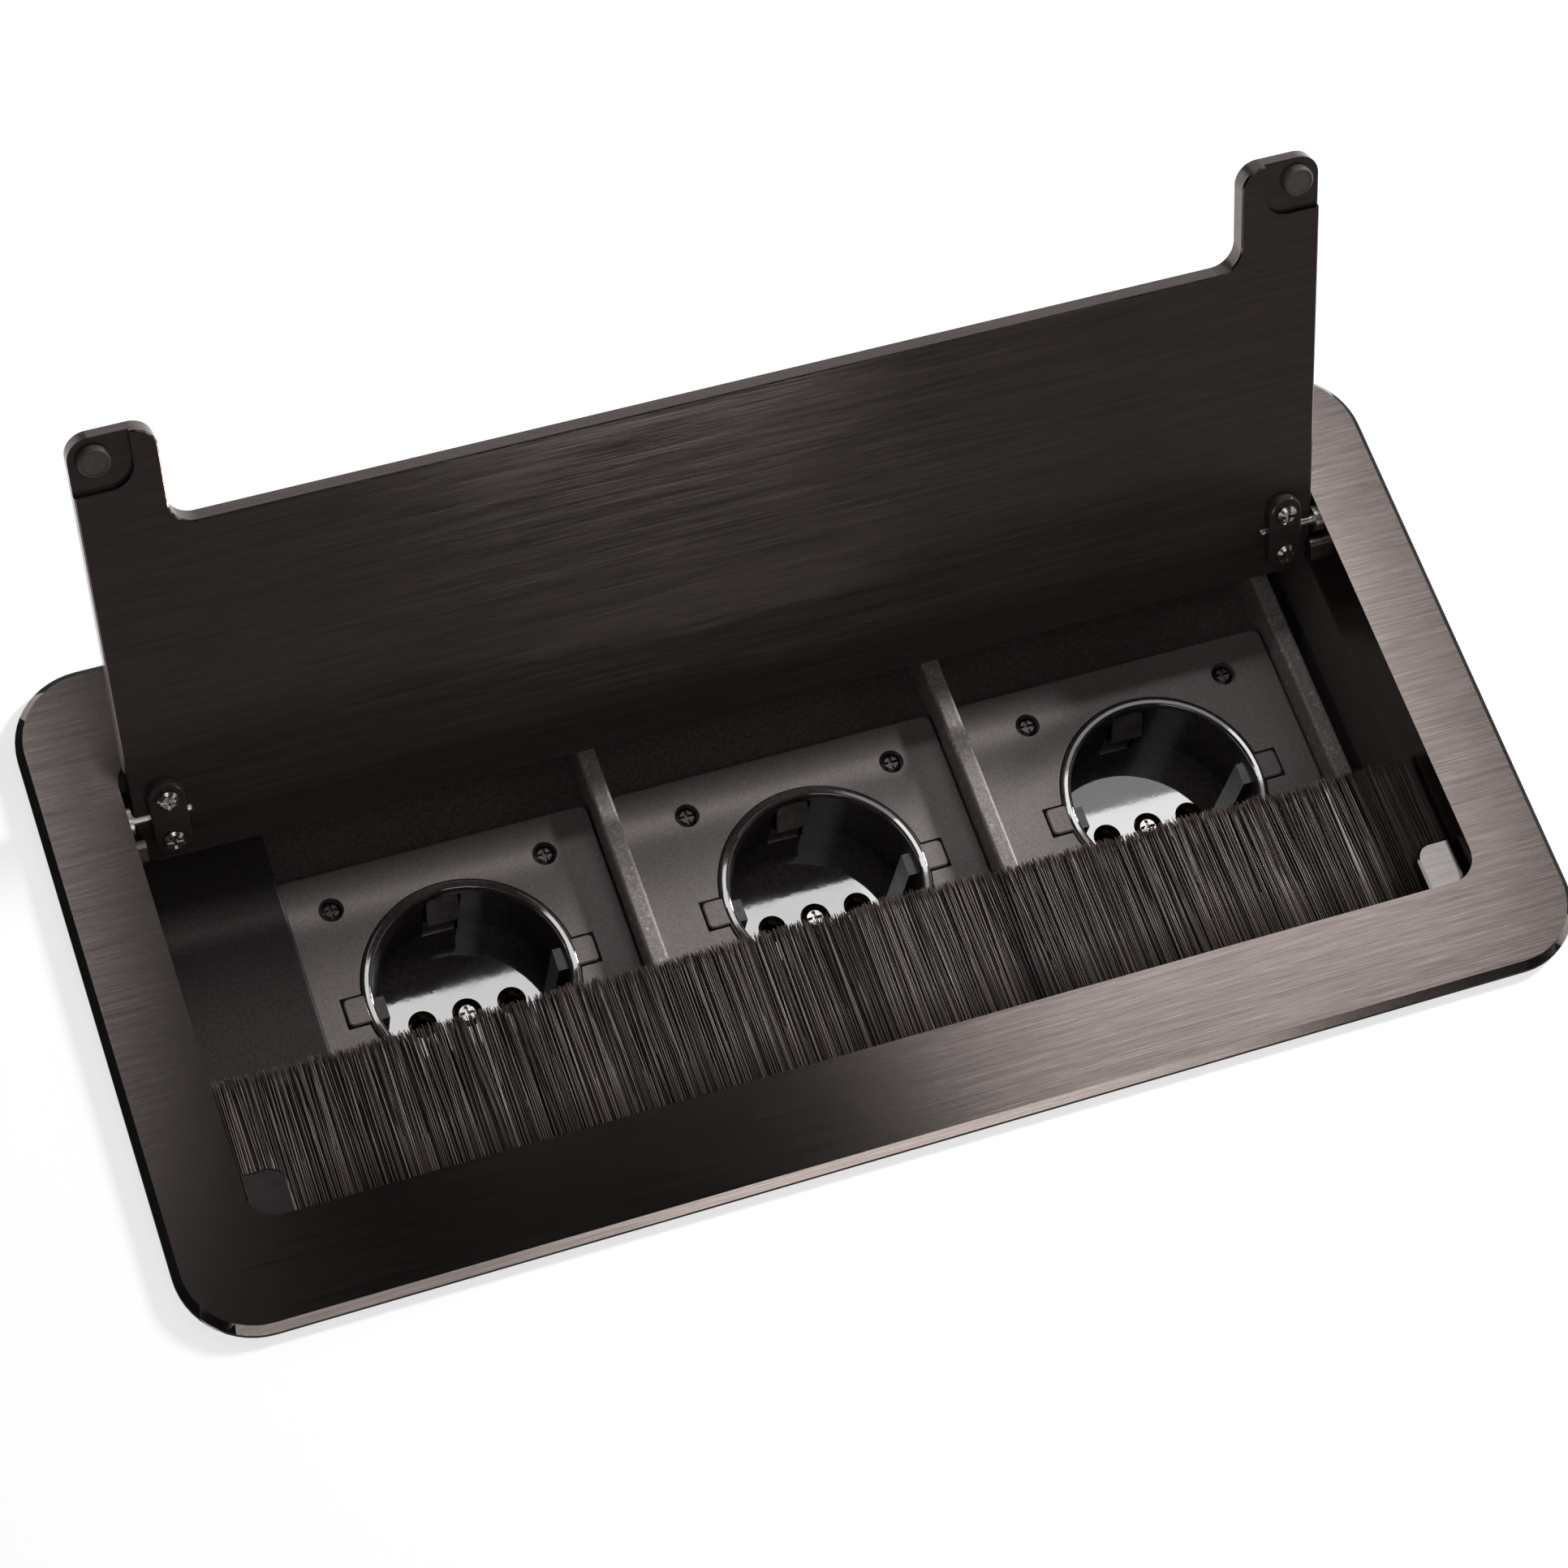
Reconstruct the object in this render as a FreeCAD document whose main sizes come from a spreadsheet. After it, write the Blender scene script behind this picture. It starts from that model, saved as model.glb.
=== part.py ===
import FreeCAD, Part
import math
import os
import re
import Sketcher

# Recessed desk socket unit: z = 0 is the desk top, +Z up, -Y the side of the user, lengths in millimetres
SIZES = {
    # bezel flange on the desk and the opening in it
    "flange_side": 16.9,
    "flange_end": 21.2,
    "flange_radius": 15.5,
    "flange_thick": 2.7,
    "flange_bevel": 1.5,
    "seal_thick": 0.8,
    "seal_inset": 1.2,
    "seal_gap": 0.2,
    "opening_depth": 98.2,
    "opening_radius": 6.0,
    # downstand ring under the flange, with room for the brush behind the opening's edge
    "ring_side": 8.0,
    "ring_end": 4.0,
    "ring_drop": 12.0,
    "ring_radius": 9.0,
    "brush_room": 9.0,
    "inner_radius": 3.0,
    # corner ledges that the closed lid rests on
    "ledge_width": 8.2,
    "ledge_reach": 11.2,
    "ledge_thick": 3.0,
    "ledge_gap": 1.0,
    "ledge_round": 3.5,
    "ledge_bevel": 0.5,
    "rest_gap": 0.3,
    # lid and its hinge line
    "hinge_inset": 11.9,
    "hinge_z": 0.0,
    "open_angle": 119.0,
    "lid_thick": 4.0,
    "lid_side_gap": 1.25,
    "lid_front_gap": 0.6,
    "lid_rear_gap": 1.0,
    "lid_round": 4.0,
    "lid_bevel": 0.3,
    "ear_width": 16.85,
    "notch_depth": 21.9,
    "ear_round": 4.5,
    "notch_round": 5.0,
    "pocket_width": 11.9,
    "pocket_length": 11.5,
    "pocket_depth": 1.1,
    "pocket_round": 5.0,
    "pad_radius": 3.15,
    "pad_inset": 4.8,
    "pad_stand": 0.5,
    "pad_round": 0.4,
    "pad_dish": 0.15,
    # hinge clamps, pins, bushes and stops
    "clamp_width": 7.3,
    "clamp_length": 17.0,
    "clamp_thick": 2.1,
    "clamp_inset": 6.75,
    "clamp_corner": 3.6,
    "clamp_round": 0.5,
    "clamp_screw_pitch": 9.6,
    "pin_radius": 1.0,
    "pin_gap": 0.05,
    "pin_overhang": 1.1,
    "pin_depth": 6.0,
    "bush_radius": 2.0,
    "bush_length": 7.0,
    "bush_flange": 0.9,
    "bush_flange_radius": 2.7,
    "stop_start": 3.4,
    "stop_length": 5.4,
    "stop_thick": 2.6,
    "stop_reach": 2.4,
    "stop_gap": 0.3,
    "stop_round": 1.2,
    # brush strip under the front edge
    "channel_depth": 8.0,
    "channel_height": 4.8,
    "channel_wall": 0.9,
    "channel_back": 2.0,
    "channel_gap": 0.6,
    "bristle_reach": 32.4,
    "bristle_gap": 1.4,
    "bristle_screw_inset": 36.6,
    # sheet tray
    "sheet": 1.5,
    "tray_depth": 84.0,
    "bend_radius": 2.0,
    "tray_screw_inset": 4.7,
    "tray_screw_end": 4.1,
    # carrier deck, face panels, cross rails and blank cover
    "deck_drop": 36.8,
    "deck_lip": 10.0,
    "deck_gap": 0.2,
    "deck_hole_gap": 1.0,
    "deck_screw_inset": 26.6,
    "socket_pitch": 76.0,
    "row_gap": 2.9,
    "panel_thick": 3.0,
    "panel_depth": 62.0,
    "panel_gap": 0.5,
    "panel_radius": 2.0,
    "panel_screw_pitch": 45.2,
    "rail_width": 4.0,
    "rail_rise": 6.0,
    "rail_shift": 1.5,
    "rail_round": 0.8,
    "rail_screw_inset": 10.1,
    "cover_width": 28.0,
    "cover_rise": 2.5,
    "cover_lap": 5.4,
    "cable_way_width": 14.0,
    "cable_way_length": 60.0,
    "cable_way_inset": 11.0,
    # round wells
    "well_radius": 19.9,
    "well_depth": 17.5,
    "well_wall": 2.0,
    "well_floor": 3.0,
    "well_flange": 1.5,
    "well_flange_width": 3.1,
    "collar_width": 2.3,
    "collar_rise": 0.5,
    "collar_depth": 1.6,
    "collar_gap": 0.2,
    "lip_round": 0.8,
    "key_width": 5.9,
    "key_reach": 4.0,
    "key_thick": 2.4,
    "key_rise": 0.3,
    "key_round": 1.1,
    "key_bevel": 0.3,
    "key_gap": 0.45,
    "plug_pitch": 19.0,
    "plug_hole_radius": 3.0,
    "guide_width": 4.8,
    "guide_depth": 2.2,
    "guide_drop": 2.0,
    # earth straps, bases and contact sleeves
    "strap_width": 6.8,
    "strap_thick": 0.8,
    "strap_slot": 7.8,
    "slot_drop": 2.4,
    "strap_inset": 0.2,
    "strap_top": 2.8,
    "strap_tip": 1.0,
    "nose_reach": 2.8,
    "nose_drop": 9.6,
    "nose_foot": 13.0,
    "base_overhang": 1.6,
    "base_depth": 20.0,
    "base_bevel": 2.0,
    "base_thread": 12.0,
    "wire_width": 5.0,
    "wire_height": 7.0,
    "sleeve_radius": 3.5,
    "sleeve_bore": 2.45,
    "sleeve_length": 16.0,
    "sleeve_slit": 0.8,
    "sleeve_foot": 4.0,
    # screws: shank and head of the larger and the smaller size
    "fit_gap": 0.05,
    "hole_gap": 0.2,
    "sink_gap": 0.4,
    "screw_radius": 1.5,
    "screw_length": 7.0,
    "head_radius": 2.75,
    "head_height": 1.6,
    "small_radius": 1.25,
    "small_head_radius": 2.2,
    "small_head_height": 1.3,
    "screw_sink": 1.8,
    "cross_width": 0.7,
    "cross_span": 3.2,
    "clamp_bite": 2.4,
    "rail_bite": 4.4,
    "centre_bite": 8.0,
    # cable gland in the rear wall
    "gland_inset": 20.6,
    "gland_drop": 62.5,
    "gland_thread": 9.8,
    "gland_bore": 7.0,
    "gland_hex": 13.3,
    "gland_collar": 5.0,
    "gland_tail": 8.0,
    "gland_nut": 4.5,
    "nut_overhang": 0.6,
    "gland_cap": 16.0,
    "cap_gap": 0.8,
    "cap_shoulder": 11.3,
    "cap_crown": 10.0,
    "cap_mouth": 7.6,
    "cable_radius": 4.5,
    # desk brackets
    "desk_thick": 25.0,
    "bracket_thick": 2.5,
    "bracket_width": 40.0,
    "bracket_leg": 28.0,
    "bracket_drop": 30.0,
    "bracket_round": 5.0,
    "bracket_hole_radius": 2.25,
    "bracket_hole_pitch": 26.0,
    "bracket_hole_inset": 9.0,
    "bracket_bolt_drop": 18.0,
}

# Sizes that follow from others: the row of sockets sets the opening, and the opening sets the flange
FOLLOWING = {
    "panel_length": "socket_pitch - rail_width - 2 * panel_gap",
    "row_length": "3 * socket_pitch - panel_gap",
    "opening_length": "deck_gap + cover_width - cover_lap + row_length + row_gap",
    "bristle_screw_pitch": "opening_length / 2 - bristle_screw_inset",
    "deck_screw_pitch": "opening_length / 2 - deck_screw_inset",
    "tray_screw_pitch": "opening_depth / 2 - tray_screw_end",
    "rail_screw_pitch": "opening_depth + 2 * (brush_room - rail_screw_inset)",
    "flange_length": "opening_length + 2 * flange_side",
    "flange_depth": "opening_depth + 2 * flange_end",
    "row_middle": "opening_length / 2 - row_gap - rail_width / 2 + rail_shift - 1.5 * socket_pitch",
    "hinge_y": "opening_depth / 2 - hinge_inset",
    "collar_radius": "well_radius + collar_width",
    "well_outer": "well_radius + well_wall",
    "well_flange_radius": "well_outer + well_flange_width",
    "deck_hole_radius": "well_flange_radius + deck_hole_gap",
    "base_radius": "well_radius + base_overhang",
    "gland_x": "gland_inset - opening_length / 2",
}

# Places worked out from the sizes
TOP = "(seal_thick + flange_thick)"
SIDE_X = "(opening_length / 2)"
ROOM_Y = "(opening_depth / 2 + brush_room)"
LEDGE_TOP = f"({TOP} - lid_thick - pad_stand - rest_gap)"
LID_HALF = f"({SIDE_X} - lid_side_gap)"
LID_FRONT = "(hinge_y + opening_depth / 2 - lid_front_gap)"
LID_REAR = "(opening_depth / 2 - hinge_y - lid_rear_gap)"
LID_TOP = f"({TOP} - hinge_z)"
LID_INNER = f"({LID_TOP} - lid_thick)"
CLAMP_X = f"({LID_HALF} - clamp_inset)"
PAD_X = f"({LID_HALF} - pad_inset)"
PAD_Y = f"(-{LID_FRONT} + pad_inset)"
CHANNEL_TOP = f"({LEDGE_TOP} - ledge_thick - rest_gap)"
TRAY_SCREW_X = f"({SIDE_X} + tray_screw_inset)"
WALL_X = f"({SIDE_X} + sheet)"
WALL_Y = f"({ROOM_Y} + sheet)"
DECK_Y = f"({ROOM_Y} - deck_gap)"
PANEL_TOP = "(panel_thick - deck_drop)"
WELL_TOP = f"({PANEL_TOP} + collar_rise)"
FLOOR_TOP = f"({WELL_TOP} - well_depth)"
FLOOR_BASE = f"({FLOOR_TOP} - well_floor)"
STRAP_Y = "(well_radius + strap_inset)"
CHANNEL_MID = f"({CHANNEL_TOP} - channel_height / 2)"
SIDES = ((-1, "left"), (1, "right"))
SOCKETS = (1, 2, 3)
TURNS = {
    "X": FreeCAD.Rotation(FreeCAD.Vector(0, 1, 0), 90),
    "Y": FreeCAD.Rotation(FreeCAD.Vector(1, 0, 0), -90),
    "Z": FreeCAD.Rotation(),
}

doc = FreeCAD.newDocument("desk_socket_unit")
sheet = doc.addObject("Spreadsheet::Sheet", "Sizes")
for row, (name, size) in enumerate(SIZES.items(), 1):
    sheet.set(f"A{row}", name)
    sheet.set(f"B{row}", str(size))
    sheet.setAlias(f"B{row}", name)
for row, (name, text) in enumerate(FOLLOWING.items(), len(SIZES) + 2):
    sheet.set(f"A{row}", name)
    sheet.set(f"B{row}", f"={text}")
    sheet.setAlias(f"B{row}", name)
starts = doc.addObject("Spreadsheet::Sheet", "Starts")
doc.recompute()
pieces = []


def formula(text):
    """A formula in the sheet's words, written as an expression of the document."""
    return re.sub(r"[a-z][a-z_]*", lambda word: f"Sizes.{word.group()}", str(text))


def present(text):
    """The present value of a formula, where a sketch's corner is first drawn."""
    starts.set("A1", f"={formula(text)}")
    starts.recompute()
    return float(starts.get("A1"))


def bind(thing, **properties):
    """Bind properties of an object to formulas."""
    for path, text in properties.items():
        thing.setExpression(path, formula(text))


def place(thing, x, y, z):
    """Bind an object's place to formulas."""
    for axis, text in zip("xyz", (x, y, z)):
        thing.setExpression(f"Placement.Base.{axis}", formula(text))


def piece(label, kind="PartDesign::Body"):
    """A new sub-part that is written to a file of its own."""
    thing = doc.addObject(kind, label)
    thing.Label = label
    pieces.append(thing)
    return thing


def ride_lid(thing):
    """Turn an object that is drawn for the closed lid into the open lid's place."""
    thing.Placement = FreeCAD.Placement(FreeCAD.Vector(), FreeCAD.Rotation(FreeCAD.Vector(1, 0, 0), -90))
    thing.setExpression("Placement.Rotation.Angle", formula("-open_angle"))
    place(thing, 0, "hinge_y", "hinge_z")


def box(body, name, size, corner, cut=False):
    """A block from its least corner."""
    kind = "PartDesign::SubtractiveBox" if cut else "PartDesign::AdditiveBox"
    feature = body.newObject(kind, name)
    bind(feature, Length=size[0], Width=size[1], Height=size[2])
    place(feature, *corner)
    return feature


def middle_box(body, name, size, foot, cut=False):
    """A block whose foot is given by the middle of its lower face."""
    corner = (f"{foot[0]} - ({size[0]}) / 2", f"{foot[1]} - ({size[1]}) / 2", foot[2])
    return box(body, name, size, corner, cut)


def cylinder(body, name, radius, height, foot, axis="Z", cut=False):
    """A round bar from the middle of its end, along one axis."""
    kind = "PartDesign::SubtractiveCylinder" if cut else "PartDesign::AdditiveCylinder"
    feature = body.newObject(kind, name)
    feature.Placement = FreeCAD.Placement(FreeCAD.Vector(), TURNS[axis])
    bind(feature, Radius=radius, Height=height)
    place(feature, *foot)
    return feature


def prism(body, name, circumradius, height, foot, axis="Y"):
    """A hexagon bar from the middle of its end, along one axis."""
    feature = body.newObject("PartDesign::AdditivePrism", name)
    feature.Polygon = 6
    feature.Placement = FreeCAD.Placement(FreeCAD.Vector(), TURNS[axis])
    bind(feature, Circumradius=circumradius, Height=height)
    place(feature, *foot)
    return feature


def new_sketch(body, name, plane, shift):
    """An empty sketch on a plane of the body, shifted within the plane and along its normal."""
    sketch = body.newObject("Sketcher::SketchObject", name)
    support = next(item for item in body.Origin.OriginFeatures if item.Role == f"{plane}_Plane")
    sketch.AttachmentSupport = (support, [""])
    sketch.MapMode = "FlatFace"
    for axis, text in zip("xyz", shift):
        sketch.setExpression(f"AttachmentOffset.Base.{axis}", formula(text))
    sketch.Visibility = False
    return sketch


def outline(body, name, plane, corners, shift=(0, 0, 0)):
    """A sketch of straight lines through corners, each held by its two distances from the sketch's origin."""
    sketch = new_sketch(body, name, plane, shift)
    spots = [FreeCAD.Vector(present(x), present(y), 0) for x, y in corners]
    ends = list(zip(spots, spots[1:] + spots[:1]))
    lines = [sketch.addGeometry(Part.LineSegment(start, end)) for start, end in ends]
    for line, after in zip(lines, lines[1:] + lines[:1]):
        sketch.addConstraint(Sketcher.Constraint("Coincident", line, 2, after, 1))
    for line, corner, spot in zip(lines, corners, spots):
        for kind, text, value, axis in zip(("DistanceX", "DistanceY"), corner, spot, (-2, -1)):
            if text == 0:
                sketch.addConstraint(Sketcher.Constraint("PointOnObject", line, 1, axis))
                continue
            rule = sketch.addConstraint(Sketcher.Constraint(kind, -1, 1, line, 1, value))
            sketch.setExpression(f"Constraints[{rule}]", formula(text))
    return sketch


def turned(body, name, plane, corners, shift=(0, 0, 0), axis="V_Axis"):
    """A solid of revolution: corners of its half section, turned about one axis of the sketch."""
    section = outline(body, f"{name}_section", plane, corners, shift)
    feature = body.newObject("PartDesign::Revolution", name)
    feature.Profile = section
    feature.ReferenceAxis = (section, [axis])
    feature.Angle = 360
    return feature


def pattern(body, name, features, axis, length, number_of):
    """Repeat features of a body along one axis of its origin."""
    direction = next(item for item in body.Origin.OriginFeatures if item.Role == f"{axis}_Axis")
    feature = body.newObject("PartDesign::LinearPattern", name)
    feature.Originals = features
    feature.Direction = (direction, [""])
    feature.Occurrences = number_of
    bind(feature, Length=length)
    body.Tip = feature
    return feature


def rounded_rectangle(body, name, length, depth, corner, height, middle=(0, 0)):
    """A sketch of a rounded rectangle about a middle point, at a height."""
    sketch = new_sketch(body, name, "XY", (*middle, height))
    point = FreeCAD.Vector
    ends = [((-1, -2), (1, -2)), ((2, -1), (2, 1)), ((1, 2), (-1, 2)), ((-2, 1), (-2, -1))]
    lines = []
    for start, end in ends:
        lines.append(sketch.addGeometry(Part.LineSegment(point(*start, 0), point(*end, 0))))
    arcs = []
    for turn, middle in enumerate(((1, -1), (1, 1), (-1, 1), (-1, -1))):
        circle = Part.Circle(point(*middle, 0), point(0, 0, 1), 1)
        first = (turn - 1) * math.pi / 2
        arcs.append(sketch.addGeometry(Part.ArcOfCircle(circle, first, first + math.pi / 2)))
    rules = []
    for turn in range(4):
        rules.append(Sketcher.Constraint("Tangent", lines[turn], 2, arcs[turn], 1))
        rules.append(Sketcher.Constraint("Tangent", arcs[turn], 2, lines[(turn + 1) % 4], 1))
        rules.append(Sketcher.Constraint("Vertical" if turn % 2 else "Horizontal", lines[turn]))
    rules += [Sketcher.Constraint("Equal", arcs[0], other) for other in arcs[1:]]
    rules.append(Sketcher.Constraint("Symmetric", arcs[0], 3, arcs[2], 3, -1, 1))
    sketch.addConstraint(rules)
    driven = {
        "Length": (Sketcher.Constraint("DistanceX", lines[3], 1, lines[1], 1, 4), length),
        "Depth": (Sketcher.Constraint("DistanceY", lines[0], 1, lines[2], 1, 4), depth),
        "Corner": (Sketcher.Constraint("Radius", arcs[0], 1), corner),
    }
    for title, (rule, text) in driven.items():
        sketch.renameConstraint(sketch.addConstraint(rule), title)
    for title, (rule, text) in driven.items():
        sketch.setExpression(f"Constraints.{title}", formula(text))
    return sketch


def pad(body, name, sketch, height, both_ways=False):
    """Raise a sketch along its normal, or half to each side of it."""
    feature = body.newObject("PartDesign::Pad", name)
    feature.Profile = sketch
    feature.Midplane = both_ways
    bind(feature, Length=height)
    return feature


def pocket(body, name, sketch, depth):
    """Cut a sketch downward."""
    feature = body.newObject("PartDesign::Pocket", name)
    feature.Profile = sketch
    bind(feature, Length=depth)
    return feature


def dress(body, kind, name, size, wanted):
    """Round or bevel the edges of the body that a test picks out."""
    doc.recompute()
    base = body.Tip
    names = [f"Edge{n}" for n, edge in enumerate(base.Shape.Edges, 1) if wanted(edge)]
    feature = body.newObject(f"PartDesign::{kind}", name)
    feature.Base = (base, names)
    bind(feature, **{"Radius" if kind == "Fillet" else "Size": size})
    return feature


def near(first, second):
    """Two places that are the same but for rounding."""
    return abs(first - second) < 1e-4


def upright(edge):
    """A straight edge along Z."""
    bounds = edge.BoundBox
    return near(bounds.XLength, 0) and near(bounds.YLength, 0)


def along_x(edge):
    """A straight edge along X."""
    bounds = edge.BoundBox
    return near(bounds.YLength, 0) and near(bounds.ZLength, 0)


def at_height(height):
    """A test for edges that lie flat at one height."""
    return lambda edge: near(edge.BoundBox.ZMin, height) and near(edge.BoundBox.ZMax, height)


def lowest(body):
    """The height of a body's underside."""
    doc.recompute()
    return body.Tip.Shape.BoundBox.ZMin


def highest(body):
    """The height of a body's top."""
    doc.recompute()
    return body.Tip.Shape.BoundBox.ZMax


def screw(label, shank, length, head, rise, cross=True):
    """A pan-head screw to copy, its seat at the origin and its head upward."""
    body = doc.addObject("PartDesign::Body", label)
    foot = f"-({length})"
    corners = [(0, foot), (shank, foot), (shank, 0), (head, 0), (head, f"0.55 * {rise}"),
               (f"0.62 * {head}", rise), (0, rise)]
    turned(body, label + "_turned", "XZ", corners)
    if cross:
        for turn, span in enumerate((("cross_span", "cross_width"), ("cross_width", "cross_span"))):
            middle_box(body, f"{label}_cross_{turn}", (*span, rise), (0, 0, f"({rise}) * 0.45"), cut=True)
    return body


def copies(label, master, places, turn=FreeCAD.Rotation()):
    """One sub-part of separate equal solids."""
    links = []
    for number, spot in enumerate(places):
        link = doc.addObject("App::Link", f"{label}_{number}")
        link.LinkedObject = master
        link.Placement = FreeCAD.Placement(FreeCAD.Vector(), turn)
        place(link, *spot)
        links.append(link)
    group = piece(label, "Part::Compound")
    group.Links = links
    return group


def socket_x(number):
    """The place of a socket in the row."""
    return f"(row_middle + {number - 2} * socket_pitch)"


def panel_screw_spots(number):
    """The four screws round a socket, in plan."""
    half = "panel_screw_pitch / 2"
    return [(f"{socket_x(number)} {sx} {half}", f"0 {sy} {half}") for sx in "-+" for sy in "-+"]


def make_bezel():
    """Aluminium surround: bevelled flange, downstand ring, opening and fastener holes."""
    body = piece("bezel_frame")
    outline = rounded_rectangle(body, "flange_outline", "flange_length", "flange_depth", "flange_radius",
                                "seal_thick")
    pad(body, "flange", outline, "flange_thick")
    dress(body, "Chamfer", "flange_edge", "flange_bevel", at_height(highest(body)))
    ring = rounded_rectangle(body, "ring_outline", "opening_length + 2 * ring_side",
                             f"2 * ({ROOM_Y} + ring_end)", "ring_radius", "-ring_drop")
    pad(body, "ring", ring, "ring_drop + seal_thick")
    opening = rounded_rectangle(body, "opening_outline", "opening_length", "opening_depth", "opening_radius",
                                TOP)
    pocket(body, "opening", opening, "flange_thick + seal_thick")
    room = rounded_rectangle(body, "room_outline", "opening_length", f"2 * {ROOM_Y}", "inner_radius",
                             "seal_thick")
    pocket(body, "room", room, "ring_drop + seal_thick")
    for side, word in SIDES:
        hole = f"{SIDE_X} - 1" if side > 0 else f"-{SIDE_X} - bush_length"
        cylinder(body, f"bush_seat_{word}", "bush_radius + fit_gap", "bush_length + 1",
                 (hole, "hinge_y", "hinge_z"), "X", cut=True)
        for row in (-1, 0, 1):
            cylinder(body, f"tray_thread_{word}_{row + 2}", "screw_radius + fit_gap", "screw_length",
                     (f"{side} * {TRAY_SCREW_X}", f"{row} * tray_screw_pitch", "-ring_drop"), cut=True)
    for spot in (-1, 0, 1):
        cylinder(body, f"channel_hole_{spot + 2}", "small_radius + fit_gap", "ring_end + 1",
                 (f"{spot} * bristle_screw_pitch", f"-{ROOM_Y} - ring_end", CHANNEL_MID), "Y", cut=True)


def make_ledges():
    """Corner ledges under the front edge, which the pads of the closed lid rest on."""
    for side, word in SIDES:
        body = piece(f"rest_ledge_{word}")
        depth = "(brush_room + ledge_reach)"
        middle_box(body, f"ledge_{word}", ("ledge_width", depth, "ledge_thick"),
                   (f"{side} * ({SIDE_X} - ledge_gap - ledge_width / 2)", f"-{ROOM_Y} + {depth} / 2",
                    f"{LEDGE_TOP} - ledge_thick"))
        doc.recompute()
        bounds = body.Tip.Shape.BoundBox
        inner, outer = (bounds.XMin, bounds.XMax) if side > 0 else (bounds.XMax, bounds.XMin)
        rounds = (("free", "ledge_round", inner, bounds.YMax), ("fixed", "inner_radius", outer, bounds.YMin))
        for end, radius, x, y in rounds:
            dress(body, "Fillet", f"ledge_{end}_corner_{word}", radius,
                  lambda edge: upright(edge) and near(edge.BoundBox.XMin, x) and near(edge.BoundBox.YMin, y))
        dress(body, "Chamfer", f"ledge_edge_{word}", "ledge_bevel", at_height(bounds.ZMax))


def make_seal():
    """Flat foam seal between the flange and the desk."""
    body = piece("desk_seal")
    outline = rounded_rectangle(body, "seal_outline", "flange_length - 2 * seal_inset",
                                "flange_depth - 2 * seal_inset", "flange_radius - seal_inset", "0")
    pad(body, "seal", outline, "seal_thick")
    hole = rounded_rectangle(body, "seal_hole", "opening_length + 2 * (ring_side + seal_gap)",
                             f"2 * ({ROOM_Y} + ring_end + seal_gap)", "ring_radius + seal_gap", "seal_thick")
    pocket(body, "seal_window", hole, "seal_thick")


def make_lid():
    """Lid plate drawn closed about its hinge line: ears, notch, ear pockets and pin grooves."""
    body = piece("lid")
    ear = f"({LID_HALF} - ear_width)"
    notch = f"(notch_depth - {LID_FRONT})"
    corners = [(f"-{LID_HALF}", f"-{LID_FRONT}"), (f"-{ear}", f"-{LID_FRONT}"), (f"-{ear}", notch),
               (ear, notch), (ear, f"-{LID_FRONT}"), (LID_HALF, f"-{LID_FRONT}"),
               (LID_HALF, LID_REAR), (f"-{LID_HALF}", LID_REAR)]
    pad(body, "plate", outline(body, "plate_outline", "XY", corners, (0, 0, LID_INNER)), "lid_thick")
    doc.recompute()
    bounds = body.Tip.Shape.BoundBox
    rounds = (("rear_corners", "lid_round", lambda edge: near(edge.BoundBox.YMax, bounds.YMax)),
              ("ear_corners", "ear_round", lambda edge: near(edge.BoundBox.YMin, bounds.YMin)),
              ("notch_corners", "notch_round",
               lambda edge: near(edge.BoundBox.YMin, bounds.YMin + SIZES["notch_depth"])))
    for name, radius, where in rounds:
        dress(body, "Fillet", name, radius, lambda edge: upright(edge) and where(edge))
    dress(body, "Chamfer", "outer_edge", "lid_bevel", at_height(bounds.ZMax))
    dress(body, "Chamfer", "inner_edge", "lid_bevel", at_height(bounds.ZMin))
    for side, word in SIDES:
        middle_box(body, f"ear_pocket_{word}", ("2 * pocket_width", "2 * pocket_length", "pocket_depth"),
                   (f"{side} * {LID_HALF}", f"-{LID_FRONT}", LID_INNER), cut=True)
    dress(body, "Fillet", "pocket_corners", "pocket_round",
          lambda edge: upright(edge) and near(edge.BoundBox.ZLength, SIZES["pocket_depth"])
          and near(abs(edge.BoundBox.XMin), bounds.XMax - SIZES["pocket_width"])
          and near(edge.BoundBox.YMin, bounds.YMin + SIZES["pocket_length"]))
    for side, word in SIDES:
        inner = f"({CLAMP_X} - clamp_width / 2 - pin_overhang - fit_gap)"
        length = f"({LID_HALF} - {inner} + 1)"
        start = inner if side > 0 else f"-{inner} - {length}"
        cylinder(body, f"pin_groove_{word}", "pin_radius + fit_gap", length, (start, 0, 0), "X", cut=True)
        for row in (-1, 1):
            spot = (f"{side} * {CLAMP_X}", f"{row} * clamp_screw_pitch / 2", LID_INNER)
            cylinder(body, f"clamp_thread_{word}_{row + 2}", "small_radius + fit_gap",
                     "clamp_bite + hole_gap", spot, cut=True)
    ride_lid(body)


def make_lid_pads():
    """Round pads in the ear pockets, which meet the ledges when the lid is closed."""
    for side, word in SIDES:
        body = piece(f"lid_pad_{word}")
        top = "pocket_depth + pad_stand"
        corners = [(0, "pad_dish"), ("0.72 * pad_radius", "pad_dish"), ("0.8 * pad_radius", 0),
                   ("pad_radius - pad_round", 0), ("pad_radius", "pad_round"), ("pad_radius", top), (0, top)]
        turned(body, f"pad_{word}", "XZ", corners,
               (f"{side} * {PAD_X}", f"{LID_INNER} - pad_stand", f"-{PAD_Y}"))
        ride_lid(body)


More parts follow.
